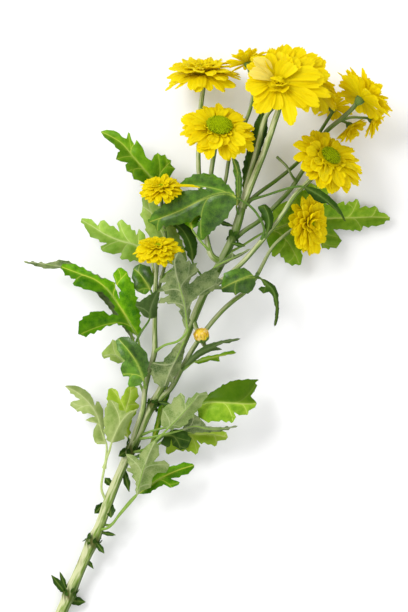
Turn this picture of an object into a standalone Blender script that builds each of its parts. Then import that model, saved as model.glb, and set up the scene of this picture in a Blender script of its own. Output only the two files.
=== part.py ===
"""A cut spray of yellow pompon chrysanthemums, lying on a flat surface at z = 0.

The spray keeps the outline it has in its picture: picture right is +X, picture up is +Y, and +Z
points at the viewer. Sizes are in millimetres here and become metres as each mesh is made.
"""
import math
import random

import bpy
from mathutils import Matrix, Vector
from mathutils.geometry import delaunay_2d_cdt

MM = 0.001

# Driving dimensions, in millimetres
BLOOM_RADIUS = 26.0
PIXEL = 0.667  # what one picture pixel spans at FOCUS_HEIGHT
EYE_HEIGHT = 3000.0
FOCUS_HEIGHT = 35.0
VIEW_PIXEL = (204.0, 306.0)  # the pixel straight below the eye
VIEW_PLACE = (-2.056, 31.579)  # where that pixel lies from the middle of the spray's box
LEAF_THICKNESS = 0.8
PETAL_THICKNESS = 0.8
PETIOLE_RADIUS = 1.0
PETIOLE_ROOT_RADIUS = 0.45
PETIOLE_END = 0.7  # of its radius, where it ends inside the blade
PETIOLE_BEND = 2.5  # how far it runs from the stem before it turns to its leaf
CLEARANCE = 0.3  # between two pieces that touch
MAIN_STEM_SIDES = 8
BRANCH_SIDES = 5
PETIOLE_SIDES = 4
DISC_SIDES = 8
CUP_SIDES = 6


def place(px, py, z):
    """The point at height z that shows at picture pixel (px, py)."""
    spread = PIXEL * (EYE_HEIGHT - z) / (EYE_HEIGHT - FOCUS_HEIGHT)
    return Vector((
        (px - VIEW_PIXEL[0]) * spread + VIEW_PLACE[0],
        (VIEW_PIXEL[1] - py) * spread + VIEW_PLACE[1],
        z,
    ))


# Blooms: picture pixel and height of the middle of the petals, the way the flower faces, its
# radius against BLOOM_RADIUS, petals in each row from the outside in, how far tips sag, and the
# degrees that its outer row and its inner rows are raised by.
BLOOMS = {
    "bloom_front": dict(
        at=(219, 127, 54), faces=(0.13, 0.72, 0.68), size=1.0,
        rows=(10, 8, 5), sag=1.5, cup=(0, 0)),
    "bloom_right": dict(
        at=(330, 157, 39), faces=(0.48, 0.60, 0.64), size=1.0,
        rows=(10, 8, 5), sag=2.0, cup=(0, 0)),
    "bloom_top_left": dict(
        at=(203, 71, 26.01), faces=(-0.08, 0.96, 0.26), size=1.0,
        rows=(10, 8, 5), sag=4.0, cup=(5, 18)),
    "bloom_top_middle": dict(
        at=(247.5, 61, 43.5), faces=(-0.15, 0.93, -0.33), size=0.58,
        rows=(7, 5), sag=0.5, cup=(10, 10)),
    "bloom_crown": dict(
        at=(278, 81, 65.5), faces=(0.0, 0.38, 0.92), size=0.88,
        rows=(10, 8, 5), sag=1.0, cup=(4, 4)),
    "bloom_crown_back": dict(
        at=(312, 84, 32.5), faces=(0.5, 0.72, -0.48), size=0.85,
        rows=(9, 8), sag=2.0, cup=(0, 0)),
    "bloom_corner_high": dict(
        at=(363, 96.5, 47), faces=(0.64, 0.70, -0.32), size=0.88,
        rows=(9, 8), sag=0.0, cup=(14, 14)),
    "bloom_corner_side": dict(
        at=(373.5, 120.5, 19), faces=(0.9, -0.4, -0.1), size=0.48,
        rows=(7, 5), sag=0.5, cup=(8, 8)),
    "bloom_corner_back": dict(
        at=(333, 107, 11.5), faces=(0.1, 0.75, -0.65), size=0.55,
        rows=(7, 5), sag=0.5, cup=(10, 10)),
    "bloom_corner_low": dict(
        at=(351, 127.5, 12.76), faces=(0.6, -0.77, 0.2), size=0.5,
        rows=(7, 5), sag=0.5, cup=(16, 16)),
    "bloom_lower_right": dict(
        at=(310, 223, 26.5), faces=(0.68, -0.05, 0.73), size=0.82,
        rows=(9, 7, 5), sag=1.0, cup=(5, 5)),
    "bloom_left_high": dict(
        at=(161, 187.5, 46), faces=(-0.05, 0.82, 0.57), size=0.58,
        rows=(8, 6), sag=1.0, cup=(5, 5)),
    "bloom_left_low": dict(
        at=(158, 247, 45), faces=(0.0, 0.85, 0.52), size=0.66,
        rows=(8, 6), sag=2.0, cup=(5, 5)),
}
# Each row of petals: reach and start (radius, height) against the bloom's radius, slopes at root
# and tip in degrees, and the share of the free width that a petal takes.
PETAL_ROWS = (
    dict(reach=0.77, start=(0.25, -0.085), slopes=(4, -16), share=0.95),
    dict(reach=0.60, start=(0.25, -0.03), slopes=(22, 4), share=0.95),
    dict(reach=0.38, start=(0.28, 0.0), slopes=(48, 30), share=0.8),
)
# Sections along a petal: how far along, and its width there against its widest.
OUTER_PETAL = ((0.0, 0.28), (0.4, 0.62), (0.78, 1.0), (1.0, 0.6))
INNER_PETAL = ((0.0, 0.3), (0.62, 1.0), (1.0, 0.62))
WIDEST_AT = 0.78
# How far one petal may differ from the next.
TURN_SPREAD = 0.03  # of the angle between two petals
RAISE_SPREAD = 4.0  # degrees
TWIST_SPREAD = 10.0  # degrees
REACH_RANGE = (0.92, 1.0)
WIDTH_RANGE = (0.88, 0.98)
# Outlines turned about a bloom's axis: radius and height against the bloom's radius.
CORE_PROFILE = ((0.17, -0.19), (0.33, -0.08), (0.35, 0.035))
DISC_PROFILE = ((0.265, 0.0), (0.265, 0.05), (0.19, 0.11))
DISC_TOP = 0.15
DISC_RIDGE = 0.02
CUP_PROFILE = ((0.05, -0.16), (0.2, -0.07), (0.23, 0.0))
PEDICEL_IN_CUP = 0.04

# Stem routes: picture pixel, height and radius of each point.
MAIN_STEM = (
    (50, 650, 3.68, 4.0), (61.6, 612, 6.6, 4.0), (66, 602, 7.2, 3.9), (69.5, 593, 7.8, 4.5),
    (74, 583, 8.5, 3.8), (88, 551, 10.7, 3.8), (92.5, 541, 11.4, 4.4), (98, 530, 12.1, 3.6),
    (110, 497, 14.3, 3.3), (127, 457, 17.0, 3.1), (131, 449, 17.5, 3.8), (137, 439, 18.2, 2.8),
    (149.2, 411, 20.1, 2.7), (152.7, 404.5, 20.6, 3.4), (158, 395, 21.3, 2.7), (180, 350, 24.2, 2.6),
    (206, 290, 28.3, 2.6), (219, 266, 30.2, 3.0), (233, 237, 32.0, 2.8), (238, 222, 33.0, 2.8),
    (243, 203, 34.0, 2.7),
)
BRANCHES = {
    "left": (
        (131, 448, 17.5, 1.8), (136, 431, 20.5, 1.8), (143, 409, 22.5, 1.7), (145, 390, 23.5, 1.7),
        (149, 372, 24.5, 1.7), (154.5, 352, 26.0, 1.8), (154.7, 330, 28.0, 1.6),
        (155.5, 290, 32.0, 1.4), (156.5, 272, 36.0, 1.3),
    ),
    "left_high": (
        (155.2, 305, 30.0, 1.2), (160, 284, 28.5, 1.1), (165, 262, 26.0, 1.1),
        (165.5, 236, 25.5, 1.1), (162, 214, 30.0, 1.1),
    ),
    "right": (
        (159, 400, 21.0, 1.8), (171, 388, 24.5, 1.7), (180.5, 371, 27.0, 1.7), (191, 352, 29.5, 1.6),
        (205, 331, 31.0, 1.5), (221, 312, 31.5, 1.5), (233, 301, 30.0, 1.5), (246, 291, 28.5, 1.4),
        (256, 277, 26.0, 1.3), (272, 248, 22.5, 1.1), (284, 236, 21.0, 1.1),
    ),
    "pale": (
        (205, 293, 28.5, 1.6), (226, 277, 33.0, 1.6), (241, 264, 36.0, 1.6), (264, 238, 39.0, 1.6),
        (282, 215, 40.0, 1.5), (295, 195, 39.5, 1.5), (309, 181, 36.0, 1.5),
    ),
    "dark": (
        (230, 243, 31.5, 1.6), (244, 231, 30.5, 1.5), (259, 221, 29.0, 1.4), (272, 209, 27.5, 1.4),
        (290, 190, 24.0, 1.4), (305, 167, 18.0, 1.4), (316, 147, 14.0, 1.4), (325, 133, 18.0, 1.5),
        (341, 119, 32.0, 1.5), (351, 110, 43.0, 1.5),
    ),
    "corner_side": ((339, 121, 30.0, 1.0), (350, 117.5, 27.5, 0.9), (360, 117.5, 23.5, 0.9)),
    "corner_low": ((324, 134, 18.5, 1.2), (333, 126, 16.0, 1.0), (340, 121, 14.5, 0.9)),
    "upper": (
        (240, 211, 33.5, 1.4), (255, 196, 31.5, 1.3), (278, 179, 26.0, 1.2), (301, 159, 18.5, 1.2),
        (316, 138, 13.0, 1.2), (325, 124, 13.0, 1.1),
    ),
    "crown": (
        (242, 207, 33.8, 2.4), (255, 175, 38.0, 2.1), (265, 150, 42.0, 2.0), (274, 123, 48.0, 2.0),
        (279, 106, 54.0, 1.9),
    ),
    "crown_back": (
        (240, 214, 33.3, 2.0), (248, 182, 34.0, 1.7), (257, 150, 36.5, 1.7), (268, 113, 38.5, 1.6),
        (283, 101, 37.5, 1.6),
    ),
    "left_top": (
        (221, 262, 30.5, 2.0), (212, 256, 32.0, 1.9), (207, 240, 33.0, 1.8), (204, 220, 33.0, 1.7),
        (201, 196, 32.5, 1.6), (198.5, 165, 31.0, 1.5), (199, 130, 29.0, 1.5), (201.5, 101, 27.0, 1.5),
    ),
    "front": (
        (205, 226, 33.0, 1.6), (209, 196, 36.0, 1.5), (211, 174, 39.0, 1.5), (214, 154, 43.0, 1.5),
    ),
    "top_middle": (
        (206, 229, 33.0, 1.4), (216, 206, 34.0, 1.3), (225, 182, 35.0, 1.2), (230, 156, 35.0, 1.2),
        (242, 130, 33.0, 1.2), (251, 106, 36.0, 1.2), (253, 88, 38.5, 1.2),
    ),
    "bud": ((193, 320, 26.2, 1.5), (200, 337, 30.0, 1.3), (204.6, 345.8, 35.0, 1.3)),
    "hooked_twig": ((296, 181, 24.0, 0.9), (292, 176, 27.0, 0.8), (287, 167, 29.0, 0.8), (277, 157, 30.0, 0.9)),
}
# The closed bud, with its outline as radius and place along its axis, both in millimetres. Its six
# sides stand out and in by BUD_RIDGE of the radius, and turn by BUD_TWIST of a side at each level.
BUD = dict(at=(201.5, 335.5, 41), faces=(-0.2, 0.75, 0.6))
BUD_PROFILE = ((1.4, -4.6), (3.9, -2.6), (4.6, 0.2), (3.4, 3.0), (1.0, 4.4))
BUD_RIDGE = 0.08
BUD_TWIST = 0.3
# The branch that carries each bloom's cup.
CARRIED_BY = {
    "bloom_front": "front", "bloom_right": "pale", "bloom_top_left": "left_top",
    "bloom_top_middle": "top_middle", "bloom_crown": "crown", "bloom_crown_back": "crown_back",
    "bloom_corner_high": "dark", "bloom_corner_side": "corner_side", "bloom_corner_back": "upper",
    "bloom_corner_low": "corner_low", "bloom_lower_right": "right", "bloom_left_high": "left_high",
    "bloom_left_low": "left",
}
# Small leaves at the stem's nodes, fused to it: root and tip (pixel, height), and width. Their
# sections are given like those of a petal.
LEAFLET_SECTIONS = ((0.0, 0.3), (0.6, 1.0), (1.0, 0.2))
LEAFLETS = (
    ((68, 596, 9), (52, 576, 11), 5.0), ((68, 595, 9), (60, 572, 14), 3.4), ((66, 600, 6), (85, 602, 4), 6.0),
    ((84, 556, 11), (93, 568, 8), 3.0), ((95, 541, 14), (104, 553, 16), 4.0), ((99, 532, 13), (115, 535, 15), 3.0),
    ((106, 502, 13), (95, 513, 10.5), 6.0), ((109, 501, 14), (111, 517, 14.5), 7.0),
    ((112, 486, 14), (105, 478, 13), 5.0), ((130, 449, 18), (119, 456, 22), 5.5),
    ((123, 466, 15), (129, 491, 13), 4.5), ((158, 402, 23), (170, 404, 25), 3.0),
    ((233, 226, 33), (219, 222, 36), 3.2), ((231, 243, 34), (245, 246, 36), 3.0),
)

# Leaves. Each gives the stem route it grows from, the pixel where it does, the petiole's way
# (pixels and heights), the outline from the blade's base round its tip and back (pixels), the
# place of the tip in that list, the midrib's inner pixels, heights at base, middle and tip,
# the slope across the blade (roll) and the rise of each half from the midrib (fold).
LEAVES = {
    "leaf_upper_left": dict(
        on=("left_high", (165, 232)), way=((163, 210, 24),), tip=16,
        outline=((160, 185), (171, 176), (175, 169), (174, 163), (168, 157), (159.5, 152.5), (153, 155.5),
                 (151, 160), (146, 156), (143, 149), (138.6, 139.8), (135, 144), (128, 131.8),
                 (124.5, 137.6), (119, 132), (110, 129.5), (100.4, 131.2), (104.4, 137.6), (110.2, 143.3),
                 (118.8, 151.3), (115.9, 159.4), (127.5, 164), (127, 170.3), (134.3, 178.9), (145, 183.5)),
        midrib=((150.4, 176.6), (134.3, 158.2), (121.7, 143.3), (109, 135.3)),
        heights=(22, 27, 20), roll=0.2, fold=0.12),
    "leaf_big_front": dict(
        on=("pale", (263, 240)), way=((264, 229, 43), (259, 217, 44.5), (250, 206, 45)), tip=18,
        outline=((236, 197.5), (232, 190.5), (226, 184.5), (218, 177.5), (210, 174.8), (201, 174.3),
                 (191, 176.8), (184, 180.4), (179, 184), (187, 186), (206, 187.6), (206, 189.2),
                 (186, 190.6), (175, 195.5), (167.5, 199.5), (163.5, 204), (160.5, 208), (154.5, 211),
                 (148.4, 222), (154.5, 225.3), (157, 231), (163.7, 225), (176, 224.3), (186.6, 221.7),
                 (195.3, 217.1), (200, 214.9), (200.8, 218), (198, 227), (198, 236), (200.4, 240.1), (207.6, 234.5),
                 (216.7, 226.3), (225, 219), (229.5, 212), (234, 206)),
        midrib=((228, 193.4), (215.7, 194.7), (201.4, 199.8), (181, 210), (162.7, 217.1)),
        heights=(45, 42, 36), roll=-0.12, fold=-0.06),
    "leaf_left_pale": dict(
        on=("left", (155.5, 290)), way=((153, 268, 25),), tip=14,
        outline=((150, 253), (146, 240), (143.5, 232.8), (138.9, 228.8), (136.6, 235), (127.4, 224.8),
                 (118.8, 220.8), (119.4, 231.7), (110.2, 226), (100.4, 220.8), (97.6, 225.4), (88.5, 218.5),
                 (85, 218.2), (81.5, 218), (80.9, 219.5), (88.9, 233.4), (98.7, 239.7), (106.7, 243.2),
                 (101, 249.5), (110.2, 253.5), (121.7, 252.9), (119.9, 258.1), (134.3, 260.4), (145, 258)),
        midrib=((133.1, 244.3), (120.5, 240.9), (104.4, 234), (92, 226)),
        heights=(23, 24, 15), roll=0.1, fold=0.1),
    "leaf_left_long": dict(
        on=("left", (148, 374)), way=((143.5, 360, 24.5), (139.5, 346, 25.5)), tip=17,
        outline=((137.3, 336.5), (139.2, 326), (139.4, 313.5), (136.5, 301), (134, 288), (128.7, 276.7),
                 (127, 271.6), (118, 268.1), (113.4, 273.2), (115, 281), (121, 291), (119.5, 298.5),
                 (115.6, 289), (112.3, 281.5), (101.6, 279.3), (93.5, 274.7), (72, 264),
                 (60.3, 266.5), (63.9, 272.7), (75.6, 279.3), (72.6, 283.4), (81.2, 287.4), (91.4, 290.5),
                 (102.7, 292), (108.8, 298.2), (114.9, 306.3), (118.6, 315.3), (109.8, 315.5),
                 (100.6, 311.4), (94, 311.4), (82.2, 319.6), (78.7, 328.8), (78.2, 333.9), (83.3, 335.9),
                 (97.6, 330.3), (106.7, 325.7), (116.9, 323.2), (125.1, 325.7), (132, 333)),
        midrib=((132.2, 327.8), (124.1, 313.5), (115.9, 301), (107.8, 290), (95.5, 280), (80.2, 274)),
        heights=(28, 36, 28), roll=0.1, fold=0.12),
    "leaf_left_behind": dict(
        on=("left", (146, 385)), way=((141, 365, 21),), tip=10,
        outline=((134, 342), (130, 322), (122, 304), (113, 290), (108, 281), (95, 274.5), (80, 267),
                 (66.4, 260.9), (55.7, 261.2), (45.5, 263.5), (23, 261.4), (32.2, 264.5),
                 (41.4, 267.3), (50.6, 268.6), (60, 268), (75, 275), (92, 288), (108, 306), (122, 325)),
        midrib=((126, 320), (114, 301), (98, 284), (78, 271), (50, 265)),
        heights=(20, 22, 17), roll=0.1, fold=0.15),
    "leaf_left_broad": dict(
        on=("left", (145.5, 388)), way=(), tip=8,
        outline=((143.5, 380), (147, 370), (148, 360), (146, 352), (141, 346.5), (133.3, 341.5),
                 (126.1, 337), (121, 336.9), (118, 338.5), (116.9, 347.1), (120.5, 354.3), (125.1, 360.4),
                 (122, 363.5), (120.5, 368.6), (122, 373.7), (129.2, 376.7), (127.7, 383.9), (135.3, 386.5),
                 (140, 385)),
        midrib=((138, 365), (128.2, 350.2), (122, 343)),
        heights=(33, 34.5, 31), roll=-0.15, fold=0.1),
    "leaf_left_toothed": dict(
        on=("left", (145, 393)), way=((140, 384, 20),), tip=7,
        outline=((134, 372), (131, 362), (125, 352), (118.5, 342), (112.3, 339.5), (110, 344),
                 (106.7, 347.1), (102.1, 356.3), (109.8, 357.3), (115.9, 362.4), (124, 362.5), (130, 371)),
        midrib=((124, 362), (114, 355)),
        heights=(19, 21, 17), roll=0.2, fold=0.1),
    "leaf_dark_round": dict(
        on=("left", (155.3, 302)), way=(), tip=5,
        outline=((150.5, 290), (153.7, 281), (152.5, 273), (147, 266), (140, 263.5), (133.3, 268.5),
                 (132, 275.7), (134, 283), (136.5, 291), (143, 294)),
        midrib=((145, 281), (139, 273)),
        heights=(28.5, 29, 25), roll=0.1, fold=0.15),
    "leaf_big_grey": dict(
        on=("left", (154.2, 351)), way=((165, 345, 37), (178, 341, 44)), tip=17,
        outline=((187.3, 331), (190, 318), (193, 306), (195.3, 299), (201.4, 291.6), (213.7, 284.5),
                 (222.9, 279.4), (220.5, 269), (216, 267.2), (209, 269.5), (199.5, 273.6), (189.5, 281),
                 (193.5, 276.5), (198.6, 268.5), (195.6, 259.5), (190, 262.5), (185.1, 258.2),
                 (177, 251.8), (173.9, 254.9), (171.5, 263), (170.5, 270.5), (163.7, 275.3), (158.6, 281.8),
                 (166, 283), (160, 289.5), (153, 294.7), (163, 296.5), (172.5, 302), (179, 314), (183, 326)),
        midrib=((185.6, 313), (184.1, 302.9), (180, 287.6), (175.9, 272.2), (175, 260)),
        heights=(47, 55, 66), roll=0.05, fold=-0.12),
    "leaf_grey_folded": dict(
        on=("left", (147.5, 377)), way=((140, 361, 28), (135.5, 346, 29.5), (140, 334, 32)), tip=4,
        outline=((149.6, 318.8), (155.7, 317.6), (156.9, 305.3), (158.5, 296), (157.8, 290.5),
                 (146.5, 297.1), (135.3, 305.3), (139, 310), (142.4, 314.5)),
        midrib=((150.5, 309), (153.5, 300)),
        heights=(37, 40, 41), roll=0.5, fold=0.1),
    "leaf_grey_lower": dict(
        on=("main", (181, 347)), way=(), tip=10,
        outline=((184, 342), (184.5, 349), (182, 361), (178.5, 371), (173.5, 377.5), (176.5, 382),
                 (172.5, 383.5), (169.8, 381.8), (169, 385), (167.5, 387), (164, 387.3), (156.7, 384),
                 (152, 376), (151.5, 363), (163.5, 361.4), (171, 352), (178, 343)),
        midrib=((177, 357), (170, 371)),
        heights=(31.5, 35, 32), roll=-0.2, fold=-0.12),
    "leaf_right_blades": dict(
        on=("right", (181.5, 369)), way=(), tip=6,
        outline=((184.5, 366.8), (190.4, 357), (199.6, 349.2), (208.8, 344.1), (223.1, 340.5),
                 (232, 339.2), (240.4, 338.8), (231, 342), (223.1, 343.1), (216, 346.5), (222, 349.4),
                 (210.8, 351.2), (200.6, 356.3), (192.4, 362.5)),
        midrib=((196, 355.5), (210, 348), (224, 342)),
        heights=(30.5, 34, 32), roll=1.2, fold=0.2),
    "leaf_right_low_blade": dict(
        with_stem=True, on=("right", (180.5, 371)), way=((185, 368.5, 25),), tip=5,
        outline=((193.5, 362), (204.7, 357), (219, 354.3), (227.1, 351.7), (233.3, 350.4), (236.3, 352.8),
                 (227.1, 354.8), (219, 356.8), (220, 361.4), (209.8, 360.4), (198.6, 364)),
        midrib=((206, 358.8), (220, 355.8)),
        heights=(23.5, 24, 21), roll=0.9, fold=0.1),
    "leaf_narrow_dark": dict(
        on=("main", (209, 284)), way=((201, 275, 24),), tip=7,
        outline=((192.5, 262), (196.8, 252), (196.4, 240), (192.2, 229.4), (187, 224), (180, 220),
                 (176, 220), (173.5, 223), (178, 230.4), (183.1, 239.6), (187.1, 251.8)),
        midrib=((191.5, 250), (187.5, 238), (181.5, 229)),
        heights=(26, 29, 29), roll=0.2, fold=0.15),
    "leaf_pale_behind": dict(
        on=("left_high", (161.5, 278)), way=((167, 273, 21),), tip=10,
        outline=((176, 265), (187.1, 260.4), (185.9, 253.5), (180, 239), (173.5, 224.8), (168, 214),
                 (158, 206), (156.5, 194.5), (148, 190), (144, 196), (142.5, 206), (141.7, 212),
                 (143.5, 220.2), (145.8, 227.1), (149.2, 236), (154, 250), (162, 262)),
        midrib=((170, 250), (162, 233), (152, 214)),
        heights=(18, 20, 17), roll=0.1, fold=0.1),
    "leaf_hidden_bright": dict(
        with_stem=True, on=("left_top", (210, 251)), way=((205.5, 246.7, 35.5), (199, 239, 35)), tip=4,
        outline=((192, 229), (198, 223), (200.4, 214.5), (197, 207), (186, 202), (182, 210), (184, 220)),
        midrib=((189, 215),),
        heights=(35, 33.5, 31), roll=0.1, fold=0.1),
    "leaf_broad_dark": dict(
        on=("right", (257.5, 275)), way=(), tip=7,
        outline=((254.5, 276.5), (249.5, 271.2), (241.2, 268.2), (235, 269), (230.2, 270.6), (223.6, 276.7),
                 (221.5, 283), (221, 289), (230.2, 292.6), (233.3, 292.6), (235.3, 295.6), (240, 292.4),
                 (245.5, 293.3), (252.7, 290), (255.7, 283.9)),
        midrib=((249.6, 276.5), (240.4, 279.5), (231, 283.5)),
        heights=(33, 39, 39), roll=-0.1, fold=-0.15),
    "leaf_drooping": dict(
        on=("right", (257, 276)), way=(), tip=8,
        outline=((260, 278.2), (265, 279.5), (270.2, 282.6), (275.9, 287.8), (278.2, 298.1), (278.8, 310.7),
                 (277.6, 321.1), (276.8, 324), (274.8, 326.8), (275.2, 316.5), (275.5, 307.3), (272.5, 295.8),
                 (269, 291.8), (263.3, 293.5), (258.1, 289), (261, 286.5), (265.5, 286.8)),
        midrib=((267, 284), (272.5, 289.5), (276, 300), (277, 312)),
        heights=(28, 26, 18), roll=0.3, fold=0.1),
    "leaf_narrow_pale": dict(
        on=("main", (212, 279)), way=((212, 272, 36.5),), tip=4,
        outline=((214, 267.6), (224.1, 258.4), (232.2, 252.8), (235.3, 255), (250.6, 248.7),
                 (241.4, 255.6), (231.2, 260.6), (221, 266.8)),
        midrib=((224, 262), (236, 256.5)),
        heights=(36.8, 38, 38), roll=0.8, fold=0.1),
    "leaf_curled": dict(
        on=("pale", (264.5, 237.5)), way=(), tip=4,
        outline=((267, 233.5), (272.5, 225.8), (273.1, 215.4), (270.2, 208.5), (263.3, 204.3), (258, 206.5),
                 (261.5, 214), (265.2, 223)),
        midrib=((269.2, 224), (267.8, 214)),
        heights=(42.3, 42, 40.5), roll=-0.7, fold=0.15),
    "leaf_right_narrow": dict(
        on=("upper", (252, 199)), way=((262, 196.5, 34), (276, 192, 38), (289, 188, 43), (297, 186.5, 43.5)),
        tip=7,
        outline=((303.5, 186.7), (312.7, 187.5), (321.8, 191.3), (331, 198.2), (337.9, 206.3), (342, 212),
                 (344.8, 217.7), (346, 221.2), (340.2, 214.3), (331, 206.3), (326.4, 203), (321.8, 203.4),
                 (316.1, 200.5), (310.4, 194.8)),
        midrib=((313, 191.5), (323, 198), (334, 207.5)),
        heights=(43.5, 44, 37), roll=0.6, fold=0.1),
    "leaf_right_big": dict(
        on=("main", (225, 253)), way=((240, 247, 22), (256, 237, 18)), tip=21,
        outline=((267, 231), (269, 222), (272, 213), (280.5, 204), (289, 202), (296, 194), (303.5, 190.5),
                 (311.5, 183.3), (316, 185.6), (321.8, 180.4), (326.4, 183.3), (328, 190), (326.5, 205),
                 (336.8, 204), (344, 201.2), (345, 205.1), (358, 199.4), (359.7, 208), (377, 207.4),
                 (379.3, 212), (385, 213.1), (390.2, 217.7), (378.1, 225.8), (363.2, 225.8), (362, 229.8),
                 (349.4, 229.8), (333.3, 229.2), (339.6, 237.8), (337.9, 246.4), (325.3, 248.2),
                 (320, 242), (312, 232), (304, 231), (299, 243), (302, 258), (300.6, 264.8), (287.4, 263.1),
                 (279.4, 253.3), (274.2, 257.3), (266.7, 241.8)),
        midrib=((276, 228.6), (292, 223.4), (310, 219.6), (327.6, 218.5), (350, 217.8), (375, 217)),
        heights=(15.5, 6.8, 5.5), roll=0.0, fold=0.1),
    "leaf_low_left": dict(
        on=("main", (107.5, 503)), way=((101.5, 489, 19), (104, 470, 22), (106.3, 456, 24)), tip=14,
        outline=((106.6, 444), (105, 438), (104, 428), (103.5, 418), (102, 407), (96.6, 401), (95.2, 405.7),
                 (93, 399), (90, 394), (83, 389), (79, 386.8), (75, 385.6), (69, 385.6), (66, 385.8),
                 (64.5, 386.3), (69.6, 391.4), (79.8, 399.6), (70.6, 402.5), (75.7, 409.8), (88.5, 413.2),
                 (95, 416.5), (90, 417.5), (85.4, 420), (91, 422), (97, 423.5), (94, 429), (93.1, 436),
                 (95.1, 442.4)),
        midrib=((101.5, 430), (97.5, 416), (90, 404), (78, 393)),
        heights=(24, 20, 12), roll=-0.15, fold=0.1),
    "leaf_low_left_fold": dict(
        on=("main", (115, 484)), way=((110, 470, 25), (110.5, 455, 28)), tip=9,
        outline=((111.5, 443), (107, 437), (104.6, 428), (104.8, 416), (106.5, 406.5), (111.5, 400.2),
                 (116, 402.5), (119, 410), (126, 413), (138, 408.8), (133.5, 414), (128.8, 423),
                 (124.7, 435.3), (118, 441.5)),
        midrib=((115.5, 433), (121.5, 421.5), (128, 414)),
        heights=(30, 33, 30), roll=-0.3, fold=0.18),
    "leaf_low_left_bright": dict(
        on=("main", (133, 446)), way=(), tip=6,
        outline=((128, 437.5), (131.8, 419), (139, 404.7), (134.9, 401.6), (138, 393.5), (137.5, 388),
                 (131, 384.5), (126.5, 388), (120.6, 399.6), (116, 389.4), (111.4, 387.9), (107.3, 396.5),
                 (110, 410), (116, 424)),
        midrib=((124, 424), (125.5, 411), (129.5, 397)),
        heights=(13.5, 11, 9), roll=0.1, fold=0.1),
    "leaf_right_pale": dict(
        on=("main", (134.5, 455)), way=((144, 449.5, 24), (156, 440, 28)), tip=10,
        outline=((168.2, 428.6), (161, 425.5), (161.5, 415), (162.6, 408.8), (171.2, 403.7), (176.3, 397),
                 (180.8, 392.5), (185, 396.5), (185, 403.7), (191.6, 397.6), (199.5, 393.4), (208, 394.5),
                 (197.5, 409.5), (188.6, 420), (181.4, 427.5)),
        midrib=((181.4, 414.9), (191, 404)),
        heights=(31, 37, 37), roll=0.15, fold=-0.12),
    "leaf_right_green": dict(
        on=("main", (139, 435)), way=((152, 431, 21), (168, 426.5, 22), (182, 419, 23)), tip=11,
        outline=((196, 406), (200.8, 418.5), (212, 421), (221.2, 420), (233.5, 421.5), (236, 416.9),
                 (234, 412.3), (241.6, 414.9), (247.8, 414.9), (248.8, 410.8), (254.9, 407.8),
                 (256.9, 403.7), (250.8, 396.5), (254.4, 392), (255.4, 383.3), (259, 380.2), (250.8, 379.7),
                 (232.4, 381.2), (220.2, 387.3), (207, 396)),
        midrib=((208, 402.5), (231.4, 403), (246, 404)),
        heights=(25, 31, 24), roll=-0.25, fold=-0.15),
    "leaf_right_serrated": dict(
        on=("main", (138, 440)), way=((150, 437.5, 24.5), (166, 434, 26.5)), tip=6,
        outline=((182, 429.8), (187, 422), (194, 414), (201, 419.5), (206, 426.2), (223.3, 427.4),
                 (237.6, 426.1), (223.3, 430.2), (212, 431.8), (196, 432.6), (188, 432)),
        midrib=((194, 426), (208, 429), (223, 428.6)),
        heights=(27, 28, 26), roll=0.3, fold=0.1),
    "leaf_right_yellow": dict(
        on=("main", (133.5, 453)), way=((146, 451, 16), (164, 441, 14)), tip=12,
        outline=((181, 432), (172, 437), (166.1, 445.5), (168.2, 454.7), (176.3, 449.6), (185.5, 449.6),
                 (197.8, 453.2), (198.8, 448.6), (196.7, 440.4), (203.9, 442.4), (216.6, 445.5),
                 (217.5, 441.2), (227.9, 437.3), (226.5, 432.5), (220, 429.7), (205, 430.5)),
        midrib=((196, 434), (212, 434.5)),
        heights=(12.5, 14, 11), roll=0.1, fold=0.1),
    "leaf_right_dark": dict(
        on=("main", (131.5, 461)), way=((142, 455.5, 21), (155, 443.5, 22)), tip=6,
        outline=((165.1, 435.5), (175.3, 429.2), (181.4, 429.8), (187.6, 434.3), (190.6, 441.4),
                 (186.5, 448.6), (180.4, 450.1), (175.3, 446.5), (171.2, 439), (169.2, 447), (161, 444)),
        midrib=((173.5, 436.5), (178.5, 443.5)),
        heights=(22, 23, 19), roll=-0.2, fold=0.15),
    "leaf_slit": dict(
        with_stem=True, on=("main", (130, 464)), way=((143, 453, 12),), tip=4,
        outline=((151.2, 442.4), (153.8, 430), (157, 415.9), (161, 400), (167, 386), (171, 388),
                 (169.5, 396), (164.5, 408.8), (160.5, 427.1), (156.5, 438)),
        midrib=((156.5, 429), (160.5, 413), (165.5, 397)),
        heights=(11, 13, 13), roll=0.3, fold=0.15),
    "leaf_low_right": dict(
        on=("main", (100, 529)), way=((109.4, 527, 18), (120, 514.5, 21), (131, 502, 24)), tip=12,
        outline=((136.5, 495.5), (135.9, 482.2), (132.9, 474.1), (126.9, 467.5), (130.8, 468),
                 (128, 460), (125.7, 453.7), (131.8, 454.7), (139.2, 460), (141, 452.7), (145.1, 447),
                 (150.2, 442.8), (155.3, 440.6), (158.9, 446.5), (158.9, 452), (154.3, 461.5), (161.4, 461),
                 (169.6, 464.9), (167.6, 470), (157.3, 473.1), (152.5, 478), (151.5, 484), (142, 491)),
        midrib=((139.5, 483), (143, 470), (148.5, 455)),
        heights=(25, 31, 33), roll=0.1, fold=-0.12),
    "leaf_low_right_yellow": dict(
        on=("main", (101.5, 524.5)), way=((110, 525, 12), (121, 512, 15), (131, 500, 18)), tip=6,
        outline=((137.5, 494), (143, 484), (152, 475.5), (163, 467.5), (175.7, 465.5), (186.9, 462.9),
                 (194.1, 465.4), (190, 472), (181.8, 475.1), (171, 478.6), (179.8, 482.2), (172.7, 487.3),
                 (163.5, 484.5), (152.2, 490.6), (144, 494)),
        midrib=((149, 486), (164, 476.5), (180, 469.5)),
        heights=(19, 21, 18), roll=-0.1, fold=0.12),
    "leaf_crown_dark": dict(
        on=("main", (241.5, 209)), way=((243, 200, 28),), tip=5,
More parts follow.
